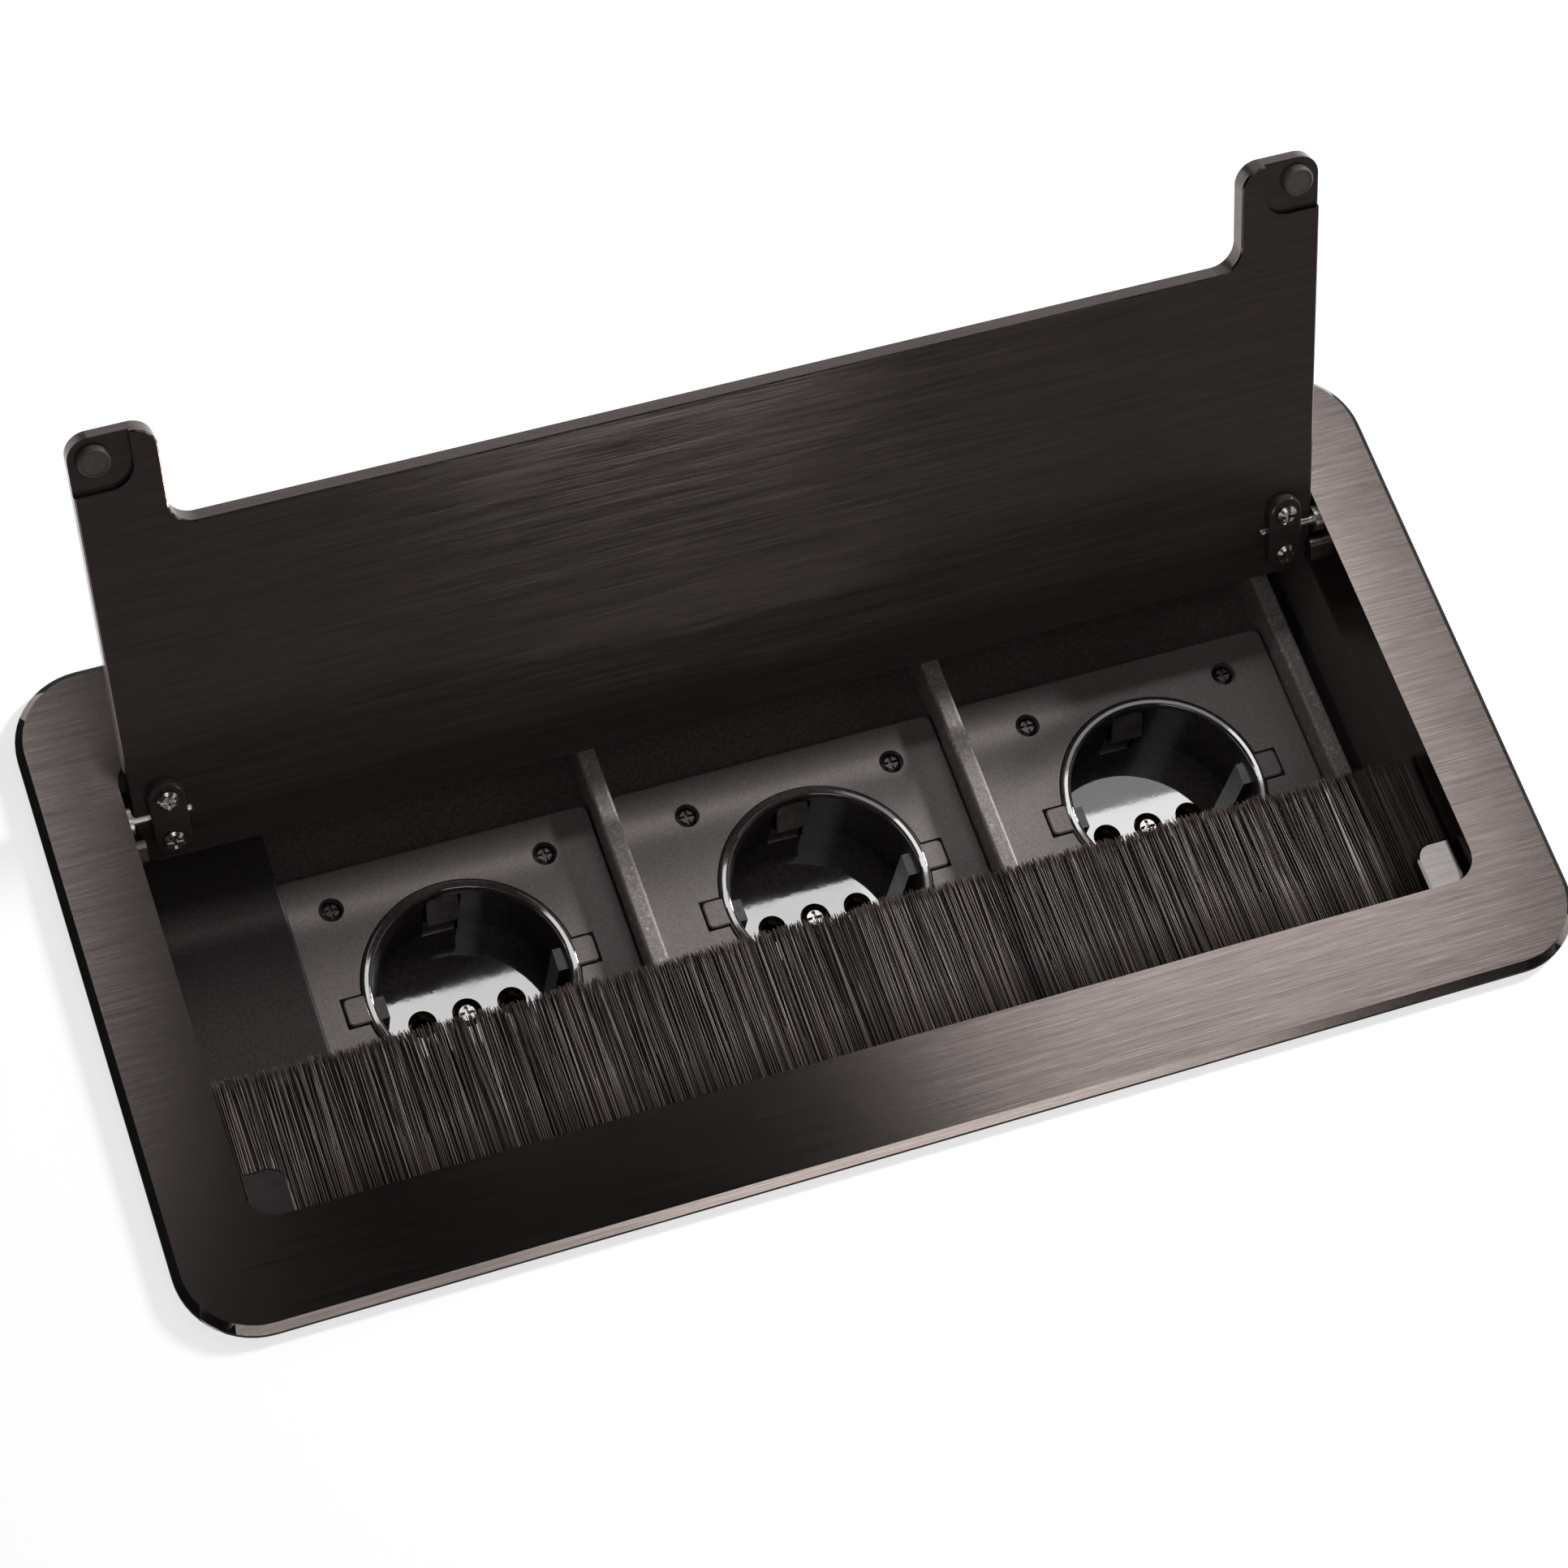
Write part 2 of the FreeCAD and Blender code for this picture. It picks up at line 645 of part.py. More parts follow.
def make_hinge_clamps():
    """Lozenge clamps that hold the pins to the underside of the lid."""
    for side, word in SIDES:
        body = piece(f"hinge_clamp_{word}")
        spot = f"{side} * {CLAMP_X}"
        base = f"{LID_INNER} - clamp_thick"
        shape = rounded_rectangle(body, f"clamp_outline_{word}", "clamp_width", "clamp_length",
                                  "clamp_corner", base, (spot, 0))
        pad(body, f"clamp_bar_{word}", shape, "clamp_thick")
        dress(body, "Fillet", f"clamp_edge_{word}", "clamp_round", at_height(lowest(body)))
        cylinder(body, f"clamp_groove_{word}", "pin_radius + fit_gap", "2 * clamp_width",
                 (f"{spot} - clamp_width", 0, 0), "X", cut=True)
        for row in (-1, 1):
            hole = (spot, f"{row} * clamp_screw_pitch / 2", base)
            cylinder(body, f"clamp_hole_{word}_{row + 2}", "small_radius + fit_gap", "clamp_thick", hole,
                     cut=True)
        ride_lid(body)


def make_hinge_pins():
    """Steel pins fixed to the lid, running in the bushes."""
    for side, word in SIDES:
        body = piece(f"hinge_pin_{word}")
        inner = f"({CLAMP_X} - clamp_width / 2 - pin_overhang)"
        length = f"({SIDE_X} + pin_depth - {inner})"
        start = inner if side > 0 else f"-{inner} - {length}"
        bevel = "pin_radius / 4"
        corners = [(0, 0), (0, f"pin_radius - {bevel}"), (bevel, "pin_radius"),
                   (f"{length} - {bevel}", "pin_radius"), (length, f"pin_radius - {bevel}"), (length, 0)]
        turned(body, f"pin_{word}", "XY", corners, (start, 0, 0), "H_Axis")
        ride_lid(body)


def make_bushes():
    """Flanged bushes pressed into the side walls of the bezel."""
    for side, word in SIDES:
        body = piece(f"hinge_bush_{word}")
        bore = "pin_radius + pin_gap"
        inner, outer = f"{-side} * bush_flange", f"{side} * bush_length"
        corners = [(inner, bore), (inner, "bush_flange_radius"), (0, "bush_flange_radius"),
                   (0, "bush_radius"), (outer, "bush_radius"), (outer, bore)]
        turned(body, f"bush_{word}", "XY", corners, (f"{side} * {SIDE_X}", "hinge_y", "hinge_z"), "H_Axis")


def make_stops():
    """Lugs on the side walls that the open lid leans on."""
    for side, word in SIDES:
        body = piece(f"lid_stop_{word}")
        start = f"{SIDE_X} - stop_reach" if side > 0 else f"-{SIDE_X}"
        box(body, f"stop_{word}", ("stop_reach", "stop_length", "stop_thick"),
            (start, "stop_start", f"{LID_INNER} - stop_gap - stop_thick"))
        dress(body, "Fillet", f"stop_edges_{word}", "stop_round", along_x)
        ride_lid(body)


def make_brush():
    """Channel under the front edge of the opening, and the bristles that it grips."""
    channel = piece("brush_channel")
    length = "(opening_length - 2 * channel_gap)"
    front = f"(-{ROOM_Y})"
    box(channel, "channel", (length, "channel_depth", "channel_height"),
        (f"-{length} / 2", front, f"{CHANNEL_TOP} - channel_height"))
    doc.recompute()
    edge_line = channel.Tip.Shape.BoundBox.YMin
    dress(channel, "Fillet", "channel_corners", "inner_radius",
          lambda edge: upright(edge) and near(edge.BoundBox.YMin, edge_line))
    slot = (f"{front} + channel_back", f"{CHANNEL_TOP} - channel_height + channel_wall")
    box(channel, "bristle_slot", (length, "channel_depth", "channel_height - 2 * channel_wall"),
        (f"-{length} / 2", *slot), cut=True)
    for spot in (-1, 0, 1):
        cylinder(channel, f"channel_thread_{spot + 2}", "small_radius + fit_gap", "channel_back",
                 (f"{spot} * bristle_screw_pitch", front, CHANNEL_MID), "Y", cut=True)
    bristles = piece("brush_bristles")
    span = "(opening_length - 2 * bristle_gap)"
    reach = "(brush_room - channel_back + bristle_reach)"
    box(bristles, "bristle_mat", (span, reach, "channel_height - 2 * channel_wall"),
        (f"-{span} / 2", *slot))


def make_tray():
    """Folded steel tray with a top flange, a gland hole and fastener holes."""
    body = piece("tray_housing")
    outline = rounded_rectangle(body, "tray_outline", "opening_length + 2 * sheet", f"2 * {WALL_Y}",
                                "inner_radius + sheet", "-tray_depth")
    pad(body, "tray_walls", outline, "tray_depth - ring_drop")
    foot = lowest(body)
    dress(body, "Fillet", "tray_bends", "bend_radius", at_height(foot))
    doc.recompute()
    brim = body.Tip.Shape.BoundBox.ZMax
    open_face = next(n for n, face in enumerate(body.Tip.Shape.Faces, 1) if near(face.BoundBox.ZMin, brim))
    shell = body.newObject("PartDesign::Thickness", "tray_shell")
    shell.Base = (body.getObject("tray_bends"), [f"Face{open_face}"])
    shell.Reversed = True
    bind(shell, Value="sheet")
    body.Tip = shell
    rim = rounded_rectangle(body, "rim_outline", "opening_length + 2 * ring_side",
                            f"2 * ({ROOM_Y} + ring_end)", "ring_radius", "-ring_drop - sheet")
    pad(body, "tray_rim", rim, "sheet")
    hollow = rounded_rectangle(body, "hollow_outline", "opening_length", f"2 * {ROOM_Y}", "inner_radius",
                               "-ring_drop")
    pocket(body, "rim_window", hollow, "sheet")
    for side, word in SIDES:
        for row in (-1, 0, 1):
            cylinder(body, f"rim_hole_{word}_{row + 2}", "screw_radius + hole_gap", "2 * sheet",
                     (f"{side} * {TRAY_SCREW_X}", f"{row} * tray_screw_pitch", "-ring_drop - 1.5 * sheet"),
                     cut=True)
        for row in (-1, 1):
            wall = f"{SIDE_X} - sheet / 2" if side > 0 else f"-{SIDE_X} - 1.5 * sheet"
            cylinder(body, f"bolt_hole_{word}_{row + 2}", "screw_radius + hole_gap", "2 * sheet",
                     (wall, f"{row} * bracket_hole_pitch / 2", "-desk_thick - bracket_bolt_drop"), "X",
                     cut=True)
    for column in (-1, 0, 1):
        cylinder(body, f"deck_hole_{column + 2}", "screw_radius + hole_gap", f"2 * {WALL_Y} + 2",
                 (f"{column} * deck_screw_pitch", f"-{WALL_Y} - 1", "-deck_drop - deck_lip / 2 - sheet"),
                 "Y", cut=True)
    cylinder(body, "gland_hole", "gland_thread + fit_gap", "3 * sheet",
             ("gland_x", f"{ROOM_Y} - sheet", "-gland_drop"), "Y", cut=True)


def make_deck():
    """Steel carrier under the face panels, with folded lips and three round windows."""
    body = piece("socket_deck")
    length = "(opening_length - 2 * deck_gap)"
    plate = rounded_rectangle(body, "deck_outline", length, f"2 * {DECK_Y}", "inner_radius",
                              "-deck_drop - sheet")
    pad(body, "deck_plate", plate, "sheet")
    for side, word in ((-1, "front"), (1, "rear")):
        spot = f"{side} * ({DECK_Y} - sheet / 2)"
        middle_box(body, f"deck_lip_{word}", (f"{length} - 2 * inner_radius", "sheet", "deck_lip"),
                   (0, spot, "-deck_drop - sheet - deck_lip"))
    base = "-deck_drop - 1.5 * sheet"
    holes = [cylinder(body, "deck_window", "deck_hole_radius", "2 * sheet", (socket_x(1), 0, base), cut=True)]
    for corner, (x, y) in enumerate(panel_screw_spots(1), 1):
        holes.append(cylinder(body, f"deck_thread_{corner}", "small_radius + fit_gap", "2 * sheet",
                              (x, y, base), cut=True))
    for row in (-1, 1):
        holes.append(cylinder(body, f"rail_hole_{row + 2}", "small_radius + hole_gap", "2 * sheet",
                              (rail_x(1), f"{row} * rail_screw_pitch / 2", base), cut=True))
    pattern(body, "deck_windows", holes, "X", "2 * socket_pitch", len(SOCKETS))
    for column in (-1, 0, 1):
        cylinder(body, f"lip_thread_{column + 2}", "screw_radius + fit_gap", f"2 * {WALL_Y}",
                 (f"{column} * deck_screw_pitch", f"-{WALL_Y}", "-deck_drop - deck_lip / 2 - sheet"), "Y",
                 cut=True)
    middle_box(body, "cable_window", ("cable_way_width", "cable_way_length", "2 * sheet"),
               (f"-{SIDE_X} + cable_way_inset", 0, base), cut=True)


def rail_x(number):
    """The rail to the right of a socket."""
    return f"({socket_x(number)} + socket_pitch / 2 - rail_shift)"


def make_rails():
    """Raised cross rails between the face panels and beside the last one."""
    for number in SOCKETS:
        body = piece(f"cross_rail_{number}")
        height = "(panel_thick + rail_rise)"
        corners = [("-rail_width / 2", 0), ("rail_width / 2", 0), ("rail_width / 2", height),
                   ("-rail_width / 2", height)]
        section = outline(body, f"rail_section_{number}", "XZ", corners, (rail_x(number), "-deck_drop", 0))
        pad(body, f"rail_bar_{number}", section, f"2 * {DECK_Y}", both_ways=True)
        top = highest(body)
        dress(body, "Fillet", f"rail_edges_{number}", "rail_round",
              lambda edge: at_height(top)(edge) and near(edge.BoundBox.XLength, 0))
        for row in (-1, 1):
            cylinder(body, f"rail_thread_{number}_{row + 2}", "small_radius + fit_gap",
                     "rail_bite + hole_gap", (rail_x(number), f"{row} * rail_screw_pitch / 2", "-deck_drop"),
                     cut=True)


def make_cover():
    """Blank cover of the cable bay at the left end: a top plate on two legs."""
    body = piece("cable_cover")
    left = f"(-{SIDE_X} + deck_gap)"
    depth = f"2 * {DECK_Y}"
    top = f"({PANEL_TOP} + cover_rise)"
    box(body, "cover_plate", ("cover_width", depth, "sheet"), (left, f"-{DECK_Y}", f"{top} - sheet"))
    box(body, "cover_left_leg", ("sheet", f"{depth} - 2 * inner_radius", "panel_thick + cover_rise - sheet"),
        (left, f"-{DECK_Y} + inner_radius", "-deck_drop"))
    doc.recompute()
    end = body.Tip.Shape.BoundBox
    dress(body, "Fillet", "cover_corners", "inner_radius",
          lambda edge: upright(edge) and near(edge.BoundBox.XMin, end.XMin)
          and near(abs(edge.BoundBox.YMin), end.YMax))
    box(body, "cover_right_leg", ("sheet", depth, "cover_rise"),
        (f"{left} + cover_width - sheet", f"-{DECK_Y}", PANEL_TOP))
    summit = highest(body)
    dress(body, "Fillet", "cover_bends", "sheet / 2",
          lambda edge: at_height(summit)(edge) and near(edge.BoundBox.XLength, 0))


def make_panels():
    """Face panels with a round hole, key slots and sunk screw holes."""
    for number in SOCKETS:
        body = piece(f"face_panel_{number}")
        middle = f"({socket_x(number)} - rail_shift)"
        plate = rounded_rectangle(body, f"panel_outline_{number}", "panel_length", "panel_depth",
                                  "panel_radius", "-deck_drop", (middle, 0))
        pad(body, f"panel_{number}", plate, "panel_thick")
        dress(body, "Fillet", f"panel_edges_{number}", "panel_radius / 4", at_height(highest(body)))
        cylinder(body, f"panel_hole_{number}", "collar_radius + collar_gap", "panel_thick",
                 (socket_x(number), 0, "-deck_drop"), cut=True)
        middle_box(body, f"key_slots_{number}",
                   ("2 * (collar_radius + key_reach + key_gap)", "key_width + 2 * key_gap", "panel_thick"),
                   (socket_x(number), 0, "-deck_drop"), cut=True)
        for corner, (x, y) in enumerate(panel_screw_spots(number), 1):
            cylinder(body, f"panel_screw_hole_{number}_{corner}", "small_radius + hole_gap", "panel_thick",
                     (x, y, "-deck_drop"), cut=True)
            cylinder(body, f"panel_sink_{number}_{corner}", "small_head_radius + sink_gap", "screw_sink",
                     (x, y, f"{PANEL_TOP} - screw_sink"), cut=True)


def make_wells():
    """Round plug wells: collar with side keys, guide ribs, earth slots, pin holes and a sunk centre screw."""
    for number in SOCKETS:
        body = piece(f"socket_well_{number}")
        x = socket_x(number)
        hole, sink = "screw_radius + hole_gap", "head_radius + sink_gap"
        flange, collar = "-deck_drop - well_flange", f"{WELL_TOP} - collar_depth"
        seat = f"{FLOOR_TOP} - screw_sink"
        corners = [(hole, FLOOR_BASE), ("well_outer", FLOOR_BASE), ("well_outer", flange),
                   ("well_flange_radius", flange), ("well_flange_radius", "-deck_drop"),
                   ("well_outer", "-deck_drop"), ("well_outer", collar), ("collar_radius", collar),
                   ("collar_radius", WELL_TOP), ("well_radius", WELL_TOP), ("well_radius", FLOOR_TOP),
                   (sink, FLOOR_TOP), (sink, seat), (hole, seat)]
        turned(body, f"well_cup_{number}", "XZ", corners, (x, 0, 0))
        dress(body, "Fillet", f"well_lip_{number}", "lip_round", at_height(highest(body)))
        inner, outer = "well_outer - 0.5", "collar_radius + key_reach"
        for side, word in SIDES:
            middle_box(body, f"key_{word}_{number}", (f"{outer} - ({inner})", "key_width", "key_thick"),
                       (f"{x} + {side} * ({outer} + {inner}) / 2", 0, f"{PANEL_TOP} + key_rise - key_thick"))
        centre, reach, top = present(x), present(outer), present(f"{PANEL_TOP} + key_rise")
        dress(body, "Fillet", f"key_corners_{number}", "key_round",
              lambda edge: upright(edge) and near(abs(edge.BoundBox.XMin - centre), reach))
        dress(body, "Chamfer", f"key_edges_{number}", "key_bevel",
              lambda edge: at_height(top)(edge) and near(edge.BoundBox.XLength, 0)
              and near(abs(edge.BoundBox.XMin - centre), reach))
        for side, word in SIDES:
            middle_box(body, f"guide_{word}_{number}",
                       ("guide_depth + well_wall / 2", "guide_width", "well_depth - guide_drop"),
                       (f"{x} + {side} * (well_radius + well_wall / 4 - guide_depth / 2)", 0, FLOOR_TOP))
            middle_box(body, f"earth_slot_{word}_{number}",
                       ("strap_slot", "2 * (well_wall + strap_inset)", "well_depth + well_floor - slot_drop"),
                       (x, f"{side} * (well_radius + well_wall / 2)", FLOOR_BASE), cut=True)
            cylinder(body, f"plug_hole_{word}_{number}", "plug_hole_radius", "well_floor",
                     (f"{x} + {side} * plug_pitch / 2", 0, FLOOR_BASE), cut=True)


def make_bases():
    """Round bases below the wells, with a strap channel, sleeve bores and wire entries."""
    for number in SOCKETS:
        body = piece(f"socket_base_{number}")
        x = socket_x(number)
        foot = f"({FLOOR_BASE} - base_depth)"
        thread = "screw_radius + fit_gap"
        end = "base_depth - base_thread"
        corners = [(0, 0), ("base_radius - base_bevel", 0), ("base_radius", "base_bevel"),
                   ("base_radius", "base_depth"), (thread, "base_depth"), (thread, end), (0, end)]
        turned(body, f"base_{number}", "XZ", corners, (x, foot, 0))
        middle_box(body, f"strap_channel_{number}",
                   ("strap_slot", "2 * base_radius", "strap_thick + 2 * fit_gap"),
                   (x, 0, f"{FLOOR_BASE} - strap_thick - 2 * fit_gap"), cut=True)
        for side, word in SIDES:
            spot = f"{x} + {side} * plug_pitch / 2"
            cylinder(body, f"sleeve_bore_{word}_{number}", "sleeve_radius + fit_gap", "sleeve_length",
                     (spot, 0, f"{FLOOR_BASE} - sleeve_length"), cut=True)
            middle_box(body, f"wire_notch_{word}_{number}", ("wire_width", "base_radius", "wire_height"),
                       (spot, "base_radius", foot), cut=True)


def make_straps():
    """Earth straps: a strip under the floor whose two arms are bent inward as sprung noses."""
    for number in SOCKETS:
        body = piece(f"earth_strap_{number}")
        x = socket_x(number)
        base = f"({FLOOR_BASE} - strap_thick)"
        tip, nose, foot = (f"({WELL_TOP} - {drop})" for drop in ("strap_top", "nose_drop", "nose_foot"))
        outer = f"({STRAP_Y} + strap_thick)"
        half = [(outer, base), (outer, foot), (f"({outer} - nose_reach)", nose), (outer, tip), (STRAP_Y, tip),
                (f"({STRAP_Y} - nose_reach)", nose), (STRAP_Y, foot), (STRAP_Y, FLOOR_BASE)]
        corners = half + [(f"-{y}", z) for y, z in reversed(half)]
        section = outline(body, f"strap_section_{number}", "YZ", corners, (0, 0, x))
        pad(body, f"strap_strip_{number}", section, "strap_width", both_ways=True)
        summit = highest(body)
        dress(body, "Chamfer", f"strap_tips_{number}", "strap_tip",
              lambda edge: at_height(summit)(edge) and near(edge.BoundBox.XLength, 0))
        cylinder(body, f"strap_hole_{number}", "screw_radius + hole_gap", "3 * strap_thick",
                 (x, 0, f"{base} - strap_thick"), cut=True)


def make_sleeves():
    """Slit brass sleeves that take the plug's pins, a pair to each socket."""
    for number in SOCKETS:
        body = piece(f"contact_sleeves_{number}")
        for side, word in SIDES:
            spot = (f"{socket_x(number)} + {side} * plug_pitch / 2", 0, f"{FLOOR_BASE} - sleeve_length")
            cylinder(body, f"sleeve_{word}_{number}", "sleeve_radius", "sleeve_length", spot)
        for side, word in SIDES:
            x = f"{socket_x(number)} + {side} * plug_pitch / 2"
            base = f"{FLOOR_BASE} - sleeve_length"
            cylinder(body, f"pin_bore_{word}_{number}", "sleeve_bore", "sleeve_length", (x, 0, base),
                     cut=True)
            middle_box(body, f"slit_{word}_{number}",
                       ("sleeve_slit", "4 * sleeve_radius", "sleeve_length - sleeve_foot"),
                       (x, 0, f"{base} + sleeve_foot"), cut=True)


def make_gland():
    """Cable gland in the rear wall: body, inner nut, dome cap and rubber seal, without a cord."""
    axis = ("gland_x", "-gland_drop")
    outer = WALL_Y

    def spot(offset):
        return (axis[0], f"{outer} + {offset}", axis[1])

    body = piece("gland_body")
    prism(body, "gland_collar", "gland_hex", "gland_collar", spot("0"))
    cylinder(body, "gland_tube", "gland_thread", "gland_collar + 2 * gland_tail + sheet",
             spot("-sheet - gland_tail"), "Y")
    cylinder(body, "gland_passage", "gland_bore", "gland_collar + 2 * gland_tail + sheet",
             spot("-sheet - gland_tail"), "Y", cut=True)
    nut = piece("gland_nut")
    prism(nut, "nut_hexagon", "gland_hex + nut_overhang", "gland_nut", spot("-sheet - gland_nut"))
    cylinder(nut, "nut_thread", "gland_thread + fit_gap", "gland_nut", spot("-sheet - gland_nut"), "Y",
             cut=True)
    cap = piece("gland_cap")
    start = "gland_collar + rest_gap"
    prism(cap, "cap_hexagon", "gland_hex", "0.6 * gland_cap", spot(start))
    bore = "cable_radius + cap_gap"
    corners = [("gland_tail", bore), ("gland_tail", "cap_shoulder"), ("0.7 * gland_cap", "cap_shoulder"),
               ("0.88 * gland_cap", "cap_crown"), ("gland_cap", "cap_mouth"), ("gland_cap", bore)]
    turned(cap, "cap_dome", "YZ", corners, (f"{outer} + {start}", axis[1], axis[0]), "H_Axis")
    cylinder(cap, "cap_thread", "gland_thread + fit_gap", "gland_tail", spot(start), "Y", cut=True)
    cylinder(cap, "cap_bore", bore, "gland_cap + 1", spot(start), "Y", cut=True)
    seal = piece("gland_seal")
    cylinder(seal, "seal_ring", "gland_bore - fit_gap", "gland_tail", spot("gland_collar"), "Y")
    cylinder(seal, "seal_bore", "cable_radius", "gland_tail", spot("gland_collar"), "Y", cut=True)


def make_brackets():
    """Angle brackets on the end walls, whose top faces lie against the underside of the desk."""
    for side, word in SIDES:
        body = piece(f"desk_bracket_{word}")
        level = "-desk_thick - bracket_thick"
        reach, plate = f"{side} * bracket_leg", f"{side} * bracket_thick"
        corners = [(0, 0), (reach, 0), (reach, "-bracket_thick"), (plate, "-bracket_thick"),
                   (plate, "-bracket_drop"), (0, "-bracket_drop")]
        section = outline(body, f"bracket_section_{word}", "XZ", corners,
                          (f"{side} * {WALL_X}", "-desk_thick", 0))
        pad(body, f"bracket_angle_{word}", section, "bracket_width", both_ways=True)
        doc.recompute()
        bounds = body.Tip.Shape.BoundBox
        tip = bounds.XMax if side > 0 else bounds.XMin
        dress(body, "Fillet", f"bracket_corners_{word}", "bracket_round",
              lambda edge: upright(edge) and near(edge.BoundBox.XMin, tip))
        dress(body, "Fillet", f"bracket_bend_{word}", "bend_radius",
              lambda edge: near(edge.BoundBox.XMin, tip - side * (bounds.XLength - SIZES["bracket_thick"]))
              and near(edge.BoundBox.XLength, 0) and near(edge.BoundBox.ZLength, 0))
        for row in (-1, 1):
            y = f"{row} * bracket_hole_pitch / 2"
            cylinder(body, f"desk_hole_{word}_{row + 2}", "bracket_hole_radius", "bracket_thick",
                     (f"{side} * ({WALL_X} + bracket_leg - bracket_hole_inset)", y, level), cut=True)
            wall = f"{WALL_X} - 1" if side > 0 else f"-{WALL_X} - bracket_thick - 1"
            cylinder(body, f"bolt_way_{word}_{row + 2}", "screw_radius + hole_gap", "bracket_thick + 2",
                     (wall, y, "-desk_thick - bracket_bolt_drop"), "X", cut=True)


def make_screws():
    """Groups of equal screws, each seated under its head."""
    turn = FreeCAD.Rotation
    x_axis = FreeCAD.Vector(1, 0, 0)
    y_axis = FreeCAD.Vector(0, 1, 0)
    head = ("small_head_radius", "small_head_height")
    small = screw("small_screw", "small_radius", "panel_thick + sheet", *head)
    clamp = screw("clamp_screw", "small_radius", "clamp_thick + clamp_bite", *head)
    centre = screw("centre_screw", "screw_radius", "well_floor + centre_bite", "head_radius", "head_height")
    plain = screw("plain_screw", "screw_radius", "screw_length", "head_radius", "head_height", cross=False)
    short = screw("short_screw", "small_radius", "sheet + rail_bite", *head, cross=False)
    channel = screw("channel_screw", "small_radius", "ring_end + channel_back - fit_gap", *head, cross=False)

    spots = [(f"{side} * {CLAMP_X}", f"{row} * clamp_screw_pitch / 2", f"{LID_INNER} - clamp_thick")
             for side in (-1, 1) for row in (-1, 1)]
    ride_lid(copies("hinge_screws", clamp, spots, turn(x_axis, 180)))
    for number in SOCKETS:
        spots = [(x, y, f"{PANEL_TOP} - screw_sink") for x, y in panel_screw_spots(number)]
        copies(f"panel_screws_{number}", small, spots)
    copies("socket_centre_screws", centre,
           [(socket_x(number), 0, f"{FLOOR_TOP} - screw_sink") for number in SOCKETS])
    spots = [(f"{side} * {TRAY_SCREW_X}", f"{row} * tray_screw_pitch", "-ring_drop - sheet")
             for side in (-1, 1) for row in (-1, 0, 1)]
    copies("tray_screws", plain, spots, turn(x_axis, 180))
    height = "-deck_drop - deck_lip / 2 - sheet"
    columns = (-1, 0, 1)
    copies("deck_screws_front", plain, [(f"{n} * deck_screw_pitch", f"-{WALL_Y}", height) for n in columns],
           turn(x_axis, 90))
    copies("deck_screws_rear", plain, [(f"{n} * deck_screw_pitch", WALL_Y, height) for n in columns],
           turn(x_axis, -90))
    spots = [(rail_x(number), f"{row} * rail_screw_pitch / 2", "-deck_drop - sheet")
             for number in SOCKETS for row in (-1, 1)]
    copies("rail_screws", short, spots, turn(x_axis, 180))
    copies("brush_screws", channel,
           [(f"{n} * bristle_screw_pitch", f"-{ROOM_Y} - ring_end", CHANNEL_MID) for n in columns],
           turn(x_axis, 90))
    for side, word in SIDES:
        spots = [(f"{side} * ({WALL_X} + bracket_thick)", f"{row} * bracket_hole_pitch / 2",
                  "-desk_thick - bracket_bolt_drop") for row in (-1, 1)]
        copies(f"bracket_bolts_{word}", plain, spots, turn(y_axis, side * 90))


make_bezel()
make_ledges()
make_seal()
make_lid()
make_lid_pads()
make_hinge_clamps()
make_hinge_pins()
make_bushes()
make_stops()
make_brush()
make_tray()
make_deck()
make_rails()
make_cover()
make_panels()
make_wells()
make_bases()
make_straps()
make_sleeves()
make_gland()
make_brackets()
make_screws()
doc.recompute()

for thing in doc.Objects:
    if "Invalid" in thing.State or "Error" in thing.State:
        raise RuntimeError(f"{thing.Label} did not build: {thing.State}")
os.makedirs("parts", exist_ok=True)
for thing in pieces:
    if thing.Shape.isNull() or not thing.Shape.isValid() or not thing.Shape.Solids:
        raise RuntimeError(f"{thing.Label} has no sound solid")
    thing.Shape.exportStep(f"parts/{thing.Label}.step")
    print(thing.Label, len(thing.Shape.Solids), round(thing.Shape.Volume))
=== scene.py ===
"""Looks of a recessed desk socket unit: finishes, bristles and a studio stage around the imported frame."""
import math

import bpy
import numpy as np
from bpy.props import FloatProperty, FloatVectorProperty, IntProperty, PointerProperty
from mathutils import Matrix, Vector


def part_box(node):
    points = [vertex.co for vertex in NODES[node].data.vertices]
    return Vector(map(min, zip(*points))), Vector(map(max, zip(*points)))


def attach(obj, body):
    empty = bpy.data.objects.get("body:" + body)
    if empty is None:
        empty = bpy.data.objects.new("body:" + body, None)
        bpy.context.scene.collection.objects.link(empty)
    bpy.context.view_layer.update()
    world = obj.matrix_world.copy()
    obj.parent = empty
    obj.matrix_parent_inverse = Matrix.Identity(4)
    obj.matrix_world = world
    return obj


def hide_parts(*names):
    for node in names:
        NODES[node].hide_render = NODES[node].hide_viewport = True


bl_info = {
    "name": "Desk socket unit looks",
    "version": (1, 0, 0),
    "blender": (4, 5, 0),
    "location": "View3D > Sidebar > Desk unit",
    "description": "Finishes, bristles and stage of a recessed desk socket unit",
    "category": "Object",
}

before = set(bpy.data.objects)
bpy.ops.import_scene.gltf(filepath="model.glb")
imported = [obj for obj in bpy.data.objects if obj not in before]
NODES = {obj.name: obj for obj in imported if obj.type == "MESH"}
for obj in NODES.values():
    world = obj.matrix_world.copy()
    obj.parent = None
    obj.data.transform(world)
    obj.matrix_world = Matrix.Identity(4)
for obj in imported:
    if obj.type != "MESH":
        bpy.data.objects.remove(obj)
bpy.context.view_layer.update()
MM = 0.001
SOCKETS = (1, 2, 3)
SIDES = ("left", "right")

